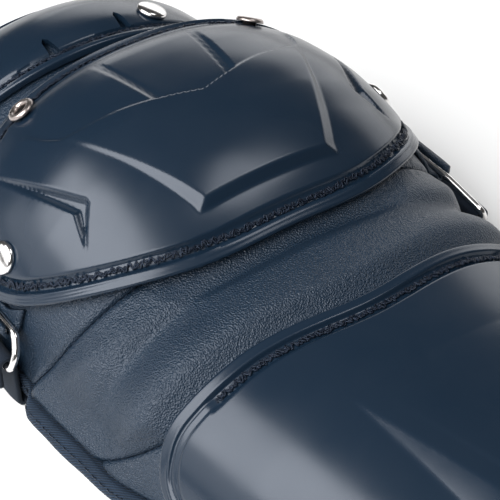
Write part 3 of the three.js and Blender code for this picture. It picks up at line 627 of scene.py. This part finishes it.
def no_relief(y, t):
    return np.zeros(np.broadcast(y, t).shape)


def rim_marks(length, gap):
    """Shares of a length, close together at a rim's lip and channel."""
    near = [0, 0.12, 0.3, 0.6, 1.0, 1.5, 2.2, 3.0, 3.7, 4.3, 4.7, 5.1, 5.5, 6.0]
    near += [6.8, 7.7, 8.6, 9.3, 9.8, 10.3, 10.8, 11.4, 12.2]
    middle = int((length - 2 * near[-1]) / gap)
    inside = np.linspace(near[-1], length - near[-1], middle + 1)[1:-1]
    return np.concatenate([near, inside, length - np.array(near[::-1])]) / length


def trimmed(values, coarse):
    """Drops a middle value until the count of steps is a multiple of coarse."""
    values = list(values)
    while (len(values) - 1) % coarse:
        del values[len(values) // 2]
    return np.array(values)


def outline_of(form, low, high, span, gap=0.25):
    t = np.linspace(-span, span, 1600)
    side = np.linspace(0, 1, 300)
    far = arch(form, low(span) + (high(span) - low(span)) * side, span)
    near = arch(form, high(-span) + (low(-span) - high(-span)) * side, -span)
    line = [arch(form, low(t), t), far, arch(form, high(t[::-1]), t[::-1]), near]
    return even(np.concatenate(line), gap, closed=True)


def rim_scale(form, y):
    """The share of the full lip and channel width at a place."""
    if form is FLAP:
        return 1.0 + 0 * y
    return 1 - 0.35 * smoothstep(y, KNEE_TOP - 35, KNEE_TOP - 8)


SHIN_SEWN_TURN, SHIN_SEWN_DOWN = 52, 40


def sewn_part(node, y, t):
    """1 where a shell's rim has a sewing channel: on the shin shell only along its upper rim."""
    if node != "shin_shell":
        return np.ones(np.shape(t))
    return (1 - ramp(np.abs(t) - SHIN_SEWN_TURN, 4)) * (y > SHIN_TOP - SHIN_SEWN_DOWN)


ROUND_OUT, ROUND_IN = 1.1, 0.9


def shell_grid(node, form, span, low, high, relief, back, arc_gap, y_gap, coarse=4):
    """Outer and inner grids of a shell, with its outline."""
    middle_y = (low(0) + high(0)) / 2
    angle_at = np.linspace(-span, span, 2000)
    run = np.linalg.norm(np.diff(arch(form, middle_y, angle_at), axis=0), axis=1)
    width = run.sum()
    u = trimmed(rim_marks(width, arc_gap), coarse)
    t = np.interp(u * width, np.concatenate([[0], np.cumsum(run)]), angle_at)
    v = trimmed(rim_marks(high(0) - low(0), y_gap), coarse)
    tt, vv = np.meshgrid(t, v, indexing="ij")
    yy = low(tt) + (high(tt) - low(tt)) * vv
    outline = outline_of(form, low, high, span)
    edge = near_line(arch(form, yy, tt), outline)
    narrow = rim_scale(form, yy)
    sewn = sewn_part(node, yy, tt)
    at = edge / narrow
    # two fine lines run round the lip, and two more beside it where nothing is sewn
    lips = 0.14 * ridge(at, 3.1, 0.35) + 0.1 * ridge(at, 1.9, 0.3)
    lips = lips + (1 - sewn) * 0.5 * (ridge(edge, 5.4, 0.5) + ridge(edge, 8.2, 0.6))
    rise = relief(yy, tt) * smoothstep(at, 9, 12) + rim_relief(edge, narrow, sewn)
    outer = on_arch(form, yy, tt, rise - rounding(edge, ROUND_OUT) - lips)
    inner = on_arch(form, yy, tt, back(yy, tt) - SHELL_WALL + rounding(edge, ROUND_IN))
    return outer, inner[::coarse, ::coarse], outline


def inset_path(form, outline, distance):
    """A line on the arch inside an outline, as places along and angles."""
    tangent = unit(np.roll(outline, -3, 0) - np.roll(outline, 3, 0))
    y, t = unroll(form, outline)
    inward = np.cross(arch_normal(form, y, t), tangent)
    return unroll(form, outline + inward * distance)


def smooth_loop(p, steps):
    """A closed smooth curve through points."""
    a, b, c, d = (np.roll(p, k, 0) for k in (1, 0, -1, -2))
    return np.stack([cubic(a, b, c, d, k / steps) for k in range(steps)], 1).reshape(-1, 3)


# The strands' steps along the channel, reaches across it and radii
STRANDS = [(1.1, 1.5, 0.3), (1.5, 1.7, 0.34), (2.1, 1.2, 0.36)]


def channel_thread(node, form, outline, distance, move, seed):
    """Thick uneven strands that loop across a shell's sewing channel."""
    y, t = inset_path(form, outline, (distance * rim_scale(form, outline[:, 1]))[:, None])
    line = even(arch(form, y, t), 0.5, closed=True)
    y, t = unroll(form, line)
    narrow = rim_scale(form, y)
    n = arch_normal(form, y, t)
    tangent = unit(np.roll(line, -2, 0) - np.roll(line, 2, 0))
    side = np.cross(n, tangent)
    g = np.random.default_rng(seed)
    parts = []
    for pitch, reach, radius in STRANDS:
        count = int(len(line) * 0.5 / pitch / 2) * 2
        at = (np.arange(count) + g.uniform(-0.3, 0.3, count)) * len(line) / count
        at = at.astype(int) % len(line)
        way = np.where(np.arange(count) % 2, 1, -1) * g.uniform(0.2, 1.0, count) * reach * narrow[at]
        height = -CHANNEL_DEPTH + 0.3 + g.uniform(0, 0.7, count)
        knots = line[at] + side[at] * way[:, None] + n[at] * height[:, None]
        kept = sewn_part(node, y[at], t[at]) > 0.5
        if kept.all():
            parts.append(tube(smooth_loop(knots, 5), radius, 6, closed=True))
        else:
            first = int(np.argmax(kept & ~np.roll(kept, 1)))
            knots = np.roll(knots, -first, 0)[:int(kept.sum())]
            parts.append(tube(smooth_loop(knots, 5)[:-10], radius, 6))
    points, faces = gather(parts)
    name = node + "_stitches"
    return link(name, mesh_of(name, move(points), faces), THREAD)


def rounded(rim, span, turn, radius, sign):
    return lambda t: rim(t) + sign * round_corner(t, span, turn, radius)


k_low, k_high = rounded(knee_low, KNEE_SPAN, 6, 8, 1), rounded(knee_high, KNEE_SPAN, 6, 8, -1)
s_low, s_high = rounded(shin_low, SHIN_SPAN, 8, 12, 1), rounded(shin_high, SHIN_SPAN, 6, 8, -1)
c_low, c_high = rounded(cap_low, CAP_SPAN, 6, 8, 1), rounded(cap_high, CAP_SPAN, 7, 9, -1)
HINGE_Z = LIFT + BODY[0][2] - INSET


def flap_move(points):
    y, z = points[:, 1], points[:, 2] - HINGE_Z
    c, s = math.cos(FLAP_TURN), math.sin(FLAP_TURN)
    return np.stack([points[:, 0], ANKLE_Y - HINGE_GAP + y * c + z * s, HINGE_Z - y * s + z * c], -1)


f_low = rounded(lambda t: flap_low(t) + MARGIN, FLAP_SPAN, 6, 7, 1)
f_high = rounded(lambda t: flap_high(t) - MARGIN, FLAP_SPAN, 6, 7, -1)


def no_move(points):
    return points


def apply_all(obj):
    graph = bpy.context.evaluated_depsgraph_get()
    fresh = bpy.data.meshes.new_from_object(obj.evaluated_get(graph))
    obj.modifiers.clear()
    old = obj.data
    obj.data = fresh
    bpy.data.meshes.remove(old)


def pierce(obj, cutters):
    """Cuts closed bodies out of a shell."""
    points, faces = gather(cutters)
    mesh = mesh_of("cutter", points, faces)
    cutter = add_object("cutter", mesh)
    modifier = obj.modifiers.new("cut", "BOOLEAN")
    modifier.operation = "DIFFERENCE"
    modifier.solver = "MANIFOLD"
    modifier.object = cutter
    apply_all(obj)
    bpy.data.objects.remove(cutter)
    bpy.data.meshes.remove(mesh)
    obj.data.shade_smooth()
    obj.data.set_sharp_from_angle(angle=math.radians(50))


def seat(points, form, y, t, out):
    """Points laid out over an arch's normal at a place."""
    n = arch_normal(form, y, t)
    across = unit(np.cross((0, 1, 0), n))
    other = np.cross(n, across)
    return on_arch(form, y, t, out) + points @ np.stack([across, other, n])


def prism(outline, depth):
    """A closed prism round a flat outline, through its middle."""
    outline = np.asarray(outline, float)
    count = len(outline)
    low = np.column_stack([outline, np.full(count, -depth / 2)])
    high = np.column_stack([outline, np.full(count, depth / 2)])
    faces = [(k, (k + 1) % count, (k + 1) % count + count, k + count) for k in range(count)]
    faces += [tuple(range(count))[::-1], tuple(range(count, 2 * count))]
    return np.concatenate([low, high]), faces


SHELLS = {
    "knee_shell": (BODY, KNEE_SPAN, k_low, k_high, knee_relief, no_relief, no_move),
    "shin_shell": (BODY, SHIN_SPAN, s_low, s_high, shin_relief, shin_panel, no_move),
    "thigh_cap": (BODY, CAP_SPAN, c_low, c_high, no_relief, no_relief, no_move),
    "foot_flap_shell": (FLAP, FLAP_SPAN, f_low, f_high, no_relief, no_relief, flap_move),
}
shells = {}
for number, (node, (form, span, low, high, relief, back, move)) in enumerate(SHELLS.items()):
    outer, inner, outline = shell_grid(node, form, span, low, high, relief, back, 0.9, 0.8)
    points, faces = closed_skins(outer, inner, 4)
    shells[node] = link(node + "_moulded", mesh_of(node, move(points), faces), PLASTIC, [node])
    channel_thread(node, form, outline, LIP_WIDTH + CHANNEL_WIDTH / 2, move, 20 + number)

GROMMET_Y, GROMMET_TURN, GROMMET_BORE = KNEE_TOP - 0.085 * KNEE, 34.0, 6.0
SLOT_Y, SLOT_TURNS, SLOT_HALF, SLOT_HEIGHT = CAP_LOW + 0.2 * CAP, (-21.3, 4.1), 2.6, 11.0
CUT_DEPTH = 12
ring_turns = np.arange(32) * 2 * math.pi / 32
hole_round = np.stack([np.cos(ring_turns), np.sin(ring_turns)], -1) * GROMMET_BORE / 2
slot_shape = [
    (-SLOT_HALF, -SLOT_HEIGHT / 2), (SLOT_HALF, -SLOT_HEIGHT / 2), (0.6 * SLOT_HALF, 0.3 * SLOT_HEIGHT),
    (0, SLOT_HEIGHT / 2), (-0.6 * SLOT_HALF, 0.3 * SLOT_HEIGHT),
]
for node, shape, y, turns in (
    ("knee_shell", hole_round, GROMMET_Y, (-GROMMET_TURN, GROMMET_TURN)),
    ("thigh_cap", slot_shape, SLOT_Y, SLOT_TURNS),
):
    cutters = []
    for turn in turns:
        points, faces = prism(shape, CUT_DEPTH)
        cutters.append((seat(points, BODY, y, turn, 0), faces))
    pierce(shells[node], cutters)


# Pads: about how many millimetres a degree of turn is long
TURN_LENGTH = 1.7


def covered(y, t, margin=4.0):
    """How far under a hard shell a place is: 0 in the open, 1 well under."""
    def under(low, high, span):
        return np.minimum(np.minimum(y - low(t), high(t) - y), (span - np.abs(t)) * TURN_LENGTH)

    depth = np.maximum(under(k_low, k_high, KNEE_SPAN), under(s_low, s_high, SHIN_SPAN))
    depth = np.maximum(depth, under(c_low, c_high, CAP_SPAN))
    return smoothstep(depth, 0, margin)


BAND_SWELL = 1.3 * BAND_BULGE


def band_swell(y, t):
    """The flexible band's plateau between its seams, low under the shells and near the straps."""
    upper_slope, lower_slope, shell_slope = 15, 11, 13
    far_fade, near_fade = (58, 76), (63, 82)
    from_seams = smoothstep(upper_seam(t) - y, 0, upper_slope)
    from_seams = from_seams * smoothstep(y - lower_seam(t), 0, lower_slope)
    clear = smoothstep(knee_low(t) - y, 0, shell_slope) * smoothstep(y - shin_high(t), -1, shell_slope - 1)
    turn = np.abs(t)
    sides = 1 - np.where(t > 0, smoothstep(turn, *far_fade), smoothstep(turn, *near_fade))
    return BAND_SWELL * np.minimum(from_seams, clear) * sides


def puff(points, faces, hold, cap, pressure=4.0, frames=20):
    """The shift of a closed body's points under a cloth simulation with pressure, in millimetres.

    hold is 1 where sewing or a shell keeps a point down.
    """
    obj = add_object("puff", mesh_of("puff", points, faces))
    group = obj.vertex_groups.new(name="held")
    for k, h in enumerate(hold):
        if h > 0.02:
            group.add([k], float(h), "REPLACE")
    cloth = obj.modifiers.new("cloth", "CLOTH")
    settings = cloth.settings
    settings.quality = 5
    settings.mass = 0.3
    settings.tension_stiffness = 18
    settings.compression_stiffness = 12
    settings.bending_stiffness = 0.6
    settings.use_pressure = True
    settings.uniform_pressure_force = pressure
    settings.vertex_group_mass = "held"
    settings.effector_weights.gravity = 0
    cloth.collision_settings.use_collision = False
    scene = bpy.context.scene
    for k in range(1, frames + 1):
        scene.frame_set(k)
    apply_all(obj)
    scene.frame_set(1)
    end = np.zeros(len(points) * 3)
    obj.data.vertices.foreach_get("co", end)
    shift = end.reshape(-1, 3) / MM - points
    size = np.linalg.norm(shift, axis=1, keepdims=True)
    left = obj.data
    bpy.data.objects.remove(obj)
    bpy.data.meshes.remove(left)
    return shift * np.minimum(1, cap / np.maximum(size, 1e-6))


def cubic_rows(values, at):
    """Smooth values between a grid's rows at fractional places."""
    i = np.clip(np.floor(at).astype(int), 0, len(values) - 2)
    f = (at - i)[:, None]
    return cubic(*(values[np.clip(i + k, 0, len(values) - 1)] for k in (-1, 0, 1, 2)), f)


def finer(values, rows_at, columns_at):
    return cubic_rows(cubic_rows(values, rows_at).T, columns_at).T


def rim_distance(form, rim, y, t):
    run = np.linalg.norm(arch(form, rim(t + 1), t + 1) - arch(form, rim(t), t), axis=-1)
    slope = (rim(t + 1) - rim(t)) / np.maximum(run, 1e-6)
    return np.abs(y - rim(t)) * np.sqrt(np.maximum(1 - slope * slope, 0.05))


def build_pad(node, form, span, low, high, cap, swell=no_relief, move=no_move, quilt=(), tabs=()):
    """A pad swollen between its seams by a cloth simulation, then drawn finely."""
    def laid(t, u):
        tt, uu = np.meshgrid(t, u, indexing="ij")
        yy = low(tt) + (high(tt) - low(tt)) * uu
        edge = np.minimum(rim_distance(form, low, yy, tt), rim_distance(form, high, yy, tt))
        front = -INSET + swell(yy, tt) + splay(yy, tt)
        return tt, yy, edge, front, -INSET - PAD_THICK + splay(yy, tt)

    length = high(0.0) - low(0.0)
    columns, rows = 64, max(8, int(length / 4.5))
    tt, yy, edge, front, back = laid(np.linspace(-span, span, columns + 1), np.linspace(0, 1, rows + 1))
    edge = np.minimum(edge, (span - np.abs(tt)) * TURN_LENGTH)
    sewn = 1 - smoothstep(edge, 2.5, 12)
    hold = np.maximum(sewn, covered(yy, tt)) if form is BODY else np.maximum(sewn, 0.9 * (np.abs(tt) < 58))
    for tab_y, side in tabs:
        hold = np.maximum(hold, smoothstep(side * tt, 52, 57) * smoothstep(22 - np.abs(yy - tab_y), 0, 6))
    outer, inner = on_arch(form, yy, tt, front), on_arch(form, yy, tt, back)
    points, faces = closed_skins(outer, inner, 1)
    shift = puff(points, faces, np.concatenate([hold.ravel(), sewn.ravel()]), cap)
    normal = arch_normal(form, yy, tt).reshape(-1, 3)
    half = len(normal)
    rise_front = (shift[:half] * normal).sum(-1).reshape(tt.shape)
    rise_back = (shift[half:] * normal).sum(-1).reshape(tt.shape)
    near = np.array([0, 0.25, 0.6, 1.0, 1.5, 2.1, 2.8, 3.6, 4.5, 5.5, 6.6]) / length
    middle = np.linspace(near[-1], 1 - near[-1], int((1 - 2 * near[-1]) * length / 1.15))[1:-1]
    u = trimmed(np.concatenate([near, middle, 1 - near[::-1]]), 2)
    t = np.linspace(-span, span, 221)
    tt, yy, edge, front, back = laid(t, u)
    at_t, at_u = (t + span) / (2 * span) * columns, u * rows
    rise_front, rise_back = finer(rise_front, at_t, at_u), finer(rise_back, at_t, at_u)
    flat = arch(form, yy, tt)
    open_part = 1 - (covered(yy, tt) if form is BODY else 0)
    pucker = 0.22 * np.sin(tt * 2.6 + 2.4 * np.sin(tt * 0.7)) * ridge(edge, 3.2, 2.6)
    wrinkle = 0.14 * soft_noise(flat * (1, 1.5, 1), 34, 3) + 0.05 * soft_noise(flat, 10, 4)
    front = front + rise_front - rounding(edge + 0.4, 3.0) + open_part * (wrinkle + pucker)
    back = back + rise_back + rounding(edge + 0.4, 2.6) + 0.5 * wrinkle
    for line in quilt:
        back = back + 1.5 * ridge(tt, line, 1)
    outer, inner = on_arch(form, yy, tt, front), on_arch(form, yy, tt, back)[::2, ::2]
    points, faces = closed_skins(outer, inner, 2)
    name = node + "_cover"
    obj = link(name, mesh_of(name, move(points), faces), LEATHER, [node])


BINDING_TURN = math.degrees(BINDING_WIDTH / KNEE_HALF)
PAD_SPAN = EDGE_TURN - BINDING_TURN - 0.5
SEAM_GAP = CLEARANCE / 2
QUILT = (-38, 0, 38)
KNEE_TABS = [
    ("near", -1, KNEE_LOW + 0.52 * KNEE, KNEE_LOW + 0.505 * KNEE),
    ("far", 1, KNEE_LOW + 0.35 * KNEE, KNEE_LOW + 0.2 * KNEE),
]
TAB_SPOTS = [(tab_y, side) for _, side, tab_y, _ in KNEE_TABS]


def level(value):
    return lambda t: value + 0 * np.asarray(t, float)


build_pad(
    "thigh_pad", BODY, PAD_SPAN, level(KNEE_PAD_TOP + SEAM_GAP), level(CAP_TOP + MARGIN), 2.2, quilt=QUILT,
)
build_pad(
    "knee_pad", BODY, PAD_SPAN, lambda t: upper_seam(t) + SEAM_GAP, level(KNEE_PAD_TOP - SEAM_GAP), 2.6,
    quilt=QUILT, tabs=TAB_SPOTS,
)
build_pad(
    "flex_band", BODY, PAD_SPAN, lambda t: lower_seam(t) + SEAM_GAP, lambda t: upper_seam(t) - SEAM_GAP, 2.8,
    swell=band_swell,
)
build_pad("shin_pad", BODY, PAD_SPAN, level(ANKLE_Y), lambda t: lower_seam(t) - SEAM_GAP, 2.2, quilt=QUILT)
build_pad("foot_flap_pad", FLAP, FLAP_SPAN + 6, flap_low, flap_high, 1.5, move=flap_move)


# Tape folded round the pads' edges
def tape_ring(y, side):
    """The tape's section at a place: round its edge, from the front face to the back."""
    out_front, out_back = -INSET + BINDING_WALL * 0.75, -INSET - PAD_THICK - BINDING_WALL * 0.75
    turn, fold = EDGE_TURN - BINDING_TURN, 2.6
    middle, half = (out_front + out_back) / 2, (out_front - out_back) / 2
    ring = []
    for f in np.linspace(0, 1, 6):
        ring.append((turn + (EDGE_TURN - fold - turn) * f, out_front + (0.25 if 0 < f < 1 else 0)))
    for f in np.linspace(90, -90, 11)[1:-1]:
        a = math.radians(f)
        ring.append((EDGE_TURN - fold + fold * math.cos(a), middle + half * math.sin(a)))
    for f in np.linspace(1, 0, 6):
        ring.append((turn + (EDGE_TURN - fold - turn) * f, out_back))
    for out in (out_back + BINDING_WALL * 0.8, out_front - BINDING_WALL * 0.8):
        ring.append((turn + 0.2, out))
    t = np.array([side * r[0] for r in ring])
    at_y = np.full(len(ring), y)
    return on_arch(BODY, at_y, t, np.array([r[1] for r in ring]) + splay(at_y, t))


def make_tape(name, node, side, low, high):
    ys = np.arange(low, high, 1.6)
    rings = np.stack([tape_ring(y, side) for y in ys])
    lumps = soft_noise(rings, 17, 11)[..., None] * 0.22
    centre = rings.mean(1, keepdims=True)
    rings = rings + unit(rings - centre) * lumps
    faces = ring_faces(len(ys), rings.shape[1]) + end_faces(len(ys), rings.shape[1])
    if side < 0:
        faces = [face[::-1] for face in faces]
    return link(name, mesh_of(name, rings.reshape(-1, 3), faces), TAPE, [node])


def stitch_run(name, line, length=3.2, gap=1.3, radius=0.24):
    """Separate stitches along a line, each a short rounded thread that dips at its ends."""
    pitch, step = length + gap, 0.4
    line = even(line, step)
    parts = []
    for k in range(int(len(line) * step / pitch)):
        piece = line[int(k * pitch / step):int((k * pitch + length) / step) + 1]
        f = np.linspace(0, 1, len(piece))
        lift = radius * (1.5 * np.sin(np.pi * f) - 0.7)
        parts.append(tube(piece + body_normal(piece) * lift[:, None], radius, 6))
    points, faces = gather(parts)
    return link(name, mesh_of(name, points, faces), THREAD)


def body_normal(p):
    y, t = unroll(BODY, p)
    return arch_normal(BODY, y, t)


TAPES = [("edge", ANKLE_Y, KNEE_PAD_TOP - 0.2), ("thigh", KNEE_PAD_TOP + 0.2, CAP_TOP + MARGIN)]
for place, side in (("near", -1), ("far", 1)):
    for kind, low, high in TAPES:
        make_tape(f"{kind}_tape_{place}_woven", f"{kind}_tape_{place}", side, low, high)
        ys = np.arange(low + 2, high - 2, 1.0)
        ts = np.full(len(ys), side * (EDGE_TURN - BINDING_TURN + 2.2))
        line = on_arch(BODY, ys, ts, splay(ys, ts) - INSET + BINDING_WALL + 0.15)
        stitch_run(f"{kind}_tape_{place}_stitches", line)

# Stitches along the seams between the pads
for name, rim in (("upper_seam_stitches", upper_seam), ("lower_seam_stitches", lower_seam)):
    ts = np.linspace(-PAD_SPAN + 1, PAD_SPAN - 1, 900)
    ys = rim(ts)
    line = on_arch(BODY, ys, ts, splay(ys, ts) - INSET - 2.1)
    stitch_run(name, line, length=2.6, gap=1.0, radius=0.32)


# Straps, tabs and wires
def arc(x, y, z, radius, start, end, count):
    a = np.radians(np.linspace(start, end, count + 1))
    return np.stack([x + radius * np.cos(a), np.full(count + 1, y), z + radius * np.sin(a)], -1)


def strap_x(y, side):
    half = float(through(BODY, np.asarray(y, float), 1)) + float(splay(y, side * EDGE_TURN))
    return half - INSET + BINDING_WALL + 1.5 * CLEARANCE + STRAP_THICK / 2


def under_edge(x, y):
    bend = CLEARANCE + STRAP_THICK / 2
    return arc(x - bend, y, STRAP_THICK / 2 + bend, bend, 0, -90, 8)


def fold_radius(thick):
    return WIRE / 2 + CLEARANCE + thick / 2


def rim_turn(y):
    share = max(y - KNEE_LOW, 0) / (KNEE_REACH * KNEE)
    return min(KNEE_TURN * share ** (1 / KNEE_POWER), KNEE_SPAN)


BAR_TURN = KNEE_SPAN + 2


def tab_on_pad(y):
    t = np.linspace(rim_turn(y) + 1, BAR_TURN, 8)
    return on_arch(BODY, np.full(8, y), t, np.full(8, -INSET + CLEARANCE + TAB_THICK / 2))


def band_mesh(name, columns, thick, material, replaces, soften=0.35):
    """A band with rounded edges from columns, each a path round the leg."""
    grid = np.stack(columns, 1)
    run = np.gradient(grid, axis=0)
    run[..., 1] = 0
    run = unit(run)
    n = np.stack([-run[..., 2], np.zeros(run.shape[:2]), run[..., 0]], -1)
    across = grid.shape[1]
    w = np.linspace(-1, 1, across)
    thin = 1 - soften * np.abs(w) ** 6
    outer = grid + n * (thick / 2 * thin)[None, :, None]
    inner = grid - n * (thick / 2 * thin)[None, :, None]
    points, faces = closed_skins(outer, inner, 1)
    return link(name, mesh_of(name, points, faces), material, replaces)


def mirror_x(path):
    return path * (-1, 1, 1)


def hung_end(y, side, bar_x, low_z):
    radius = fold_radius(STRAP_THICK)
    start = np.array([[bar_x + radius, y, low_z - FOLD_LENGTH]])
    return np.concatenate([start, arc(bar_x, y, low_z, radius, 0, 180, 14), under_edge(strap_x(y, side), y)])


def across(y, width):
    return np.linspace(y - width / 2, y + width / 2, 5)


def loop_of(side, tab_y, strap_y):
    """A wire loop's upper and lower bars: their distances from the middle and heights."""
    leg_ends = [tab_on_pad(y)[-1] for y in across(tab_y, TAB_WIDTH)]
    reaches = [strap_x(y, side) for y in across(strap_y, STRAP_WIDTH)]
    top_z = min(p[2] for p in leg_ends)
    upper_x = max(p[0] for p in leg_ends) + fold_radius(TAB_THICK)
    return upper_x, max(reaches) + fold_radius(STRAP_THICK), top_z, top_z - LOOP_HEIGHT


WIDE = np.linspace(-0.5, 0.5, 19)
loops = [loop_of(side, tab_y, strap_y) for _, side, tab_y, strap_y in KNEE_TABS]
columns = []
for share in WIDE:
    near, far = (
        hung_end(strap_y + share * STRAP_WIDTH, side, loop[1], loop[3])
        for (_, side, _, strap_y), loop in zip(KNEE_TABS, loops)
    )
    columns.append(resample(np.concatenate([mirror_x(near), far[::-1]]), 260))
band_mesh("knee_strap_webbing", columns, STRAP_THICK, WEBBING, ["knee_strap"])

for (place, side, tab_y, strap_y), (upper, lower, top_z, low_z) in zip(KNEE_TABS, loops):
    radius = fold_radius(TAB_THICK)
    columns = []
    for share in np.linspace(-0.5, 0.5, 15):
        y = tab_y + share * TAB_WIDTH
        free_end = [[upper + radius, y, top_z + TAB_THICK]]
        path = np.concatenate([tab_on_pad(y)[:-1], arc(upper, y, top_z, radius, 180, 360, 14), free_end])
        columns.append(resample(path if side > 0 else mirror_x(path), 40))
    band_mesh(f"knee_tab_{place}_leather", columns, TAB_THICK, LEATHER, [f"knee_tab_{place}"])
    beside = WIRE / 2 + 1
    high_y = max(tab_y + TAB_WIDTH / 2, strap_y + STRAP_WIDTH / 2) + beside
    low_y = strap_y - STRAP_WIDTH / 2 - beside
    over = fold_radius(STRAP_THICK) + (STRAP_THICK + WIRE) / 2 + CLEARANCE
    bend_x = lower + (upper - lower) * over / LOOP_HEIGHT
    corners = np.array([
        (side * upper, high_y, top_z), (side * upper, tab_y - TAB_WIDTH / 2 - beside, top_z),
        (side * bend_x, low_y, low_z + over), (side * lower, low_y, low_z), (side * lower, high_y, low_z),
    ])
    ring = []
    for k in range(len(corners)):
        before, here, after = corners[k - 1], corners[k], corners[(k + 1) % len(corners)]
        a, b = here + unit(before - here) * 0.8 * WIRE, here + unit(after - here) * 0.8 * WIRE
        for f in np.linspace(0, 1, 7):
            ring.append(a * (1 - f) ** 2 + 2 * here * f * (1 - f) + b * f * f)
    points, faces = tube(even(np.array(ring), 0.8, closed=True), WIRE / 2, 14, closed=True)
    name = f"knee_wire_{place}_bent"
    link(name, mesh_of(name, points, faces), CHROME, [f"knee_wire_{place}"])

STRAP_TURNS = np.linspace(60, SHIN_SPAN, 14)
STRAP_OUT = LIP_RISE + 1.5 * CLEARANCE + STRAP_THICK / 2
LOWER_STRAPS = [
    ("calf_strap", ANKLE_Y + 0.72 * SHIN, ANKLE_Y + 0.9 * SHIN),
    ("ankle_strap", ANKLE_Y + 0.16 * SHIN, ANKLE_Y + 0.2 * SHIN),
]


def laid_end(y, side):
    on_shell = on_arch(BODY, np.full(14, y), STRAP_TURNS, np.full(14, STRAP_OUT))
    return np.concatenate([on_shell, under_edge(strap_x(y, side), y)])


for node, near_y, far_y in LOWER_STRAPS:
    columns = []
    for share in WIDE:
        near, far = laid_end(near_y + share * STRAP_WIDTH, -1), laid_end(far_y + share * STRAP_WIDTH, 1)
        columns.append(resample(np.concatenate([mirror_x(near), far[::-1]]), 240))
    band_mesh(node + "_webbing", columns, STRAP_THICK, WEBBING, [node])


# Rivets and grommets
def turned(profile, sides=40):
    """A closed solid of revolution round Z."""
    points = []
    for r, z in profile:
        for c in range(sides):
            a = 2 * math.pi * c / sides
            points.append((r * math.cos(a), r * math.sin(a), z))
    return np.array(points), ring_faces(len(profile), sides, closed=True)


def dome(radius, height):
    """A low rivet head with a rolled edge and a rounded top."""
    profile = [(0.02, 0), (radius * 0.96, 0), (radius, 0.12 * height), (radius, 0.3 * height)]
    profile.append((0.985 * radius, 0.4 * height))
    for f in np.linspace(0.06, 0.97, 14):
        profile.append((radius * (1 - f), height * (0.42 + 0.58 * math.sqrt(1 - (1 - f) ** 2.2))))
    profile.append((0.02, height))
    return profile


def add_turned(name, profile, y, t, out, material, node):
    points, faces = turned(profile)
    link(name, mesh_of(name, seat(points, BODY, y, t, out), faces), material, [node])


RIVET, KNEE_RIVET_TURN, STRAP_RIVET_TURN, RIVET_OUT = dome(6.75, 2.8), 59, 69, CLEARANCE / 3
THIGH_RIVETS = {-1: (CAP_LOW + 0.38 * CAP, -40), 1: (CAP_LOW + 0.24 * CAP, 17.6)}
for place, side in (("near", -1), ("far", 1)):
    spots = [
        ("knee", KNEE_LOW + 0.537 * KNEE, side * KNEE_RIVET_TURN, RIVET_OUT),
        ("thigh", *THIGH_RIVETS[side], RIVET_OUT),
    ]
    for node, near_y, far_y in LOWER_STRAPS:
        y = near_y if side < 0 else far_y
        spots.append((node, y, side * STRAP_RIVET_TURN, STRAP_OUT + STRAP_THICK / 2 + RIVET_OUT))
    for kind, y, t, out in spots:
        add_turned(f"{kind}_rivet_{place}_head", RIVET, y, t, out, CHROME, f"{kind}_rivet_{place}")
    r_in, r_out = 2.9, 6.0
    middle, half = (r_in + r_out) / 2, (r_out - r_in) / 2
    around = np.linspace(0, math.pi, 13)
    ring = [(middle + half * math.cos(a), 0.1 + 1.6 * max(math.sin(a), 0)) for a in around]
    ring += [(r_in - 0.4, -3.2), (r_in, -3.2), (r_in, -0.2), (r_out - 0.2, -0.2)]
    node, t = f"grommet_{place}", side * GROMMET_TURN
    add_turned(node + "_ring", ring, GROMMET_Y, t, LIP_RISE, NICKEL, node)

# Floor, world and lights
floor_mesh = bpy.data.meshes.new("floor")
floor_mesh.from_pydata([(-6, -6, 0), (6, -6, 0), (6, 6, 0), (-6, 6, 0)], [], [(0, 1, 2, 3)])
floor = add_object("floor", floor_mesh)
floor_material, _, floor_shader = new_material("pale_floor")
put(floor_shader, Base_Color=(0.9, 0.9, 0.9, 1), Roughness=0.8, Specular_IOR_Level=0.1)
floor_mesh.materials.append(floor_material)

world = bpy.data.worlds.new("world")
bpy.context.scene.world = world
world.use_nodes = True
put(world.node_tree.nodes["Background"], Color=(1, 1, 1, 1), Strength=0.06)


def area_light(name, turn, rise, distance, size, radiance, target=(0, 0.1, 0.04)):
    """A soft box seen from the target at a turn (from +Y to +X) and rise in degrees."""
    turn, rise = math.radians(turn), math.radians(rise)
    way = Vector((math.sin(turn) * math.cos(rise), math.cos(turn) * math.cos(rise), math.sin(rise)))
    data = bpy.data.lights.new(name, "AREA")
    data.shape = "RECTANGLE"
    data.size, data.size_y = size
    data.energy = radiance * math.pi * size[0] * size[1]
    light = add_object(name, data)
    light.location = Vector(target) + way * distance
    light.rotation_mode = "QUATERNION"
    light.rotation_quaternion = (-way).to_track_quat("-Z", "Y")


area_light("left_box", -95, 47, 1.3, (1.9, 0.95), 6.8)
area_light("left_strip", -68, 14, 1.4, (1.5, 0.45), 1.7)
area_light("far_wall", 53, 11, 2.2, (3.3, 1.0), 1.7)
area_light("low_box", 130, 65, 1.5, (0.55, 0.6), 5.0)
area_light("top_wash", 60, 88, 2.6, (3.4, 3.4), 0.1)

view = bpy.context.scene.view_settings
view.view_transform = "Standard"
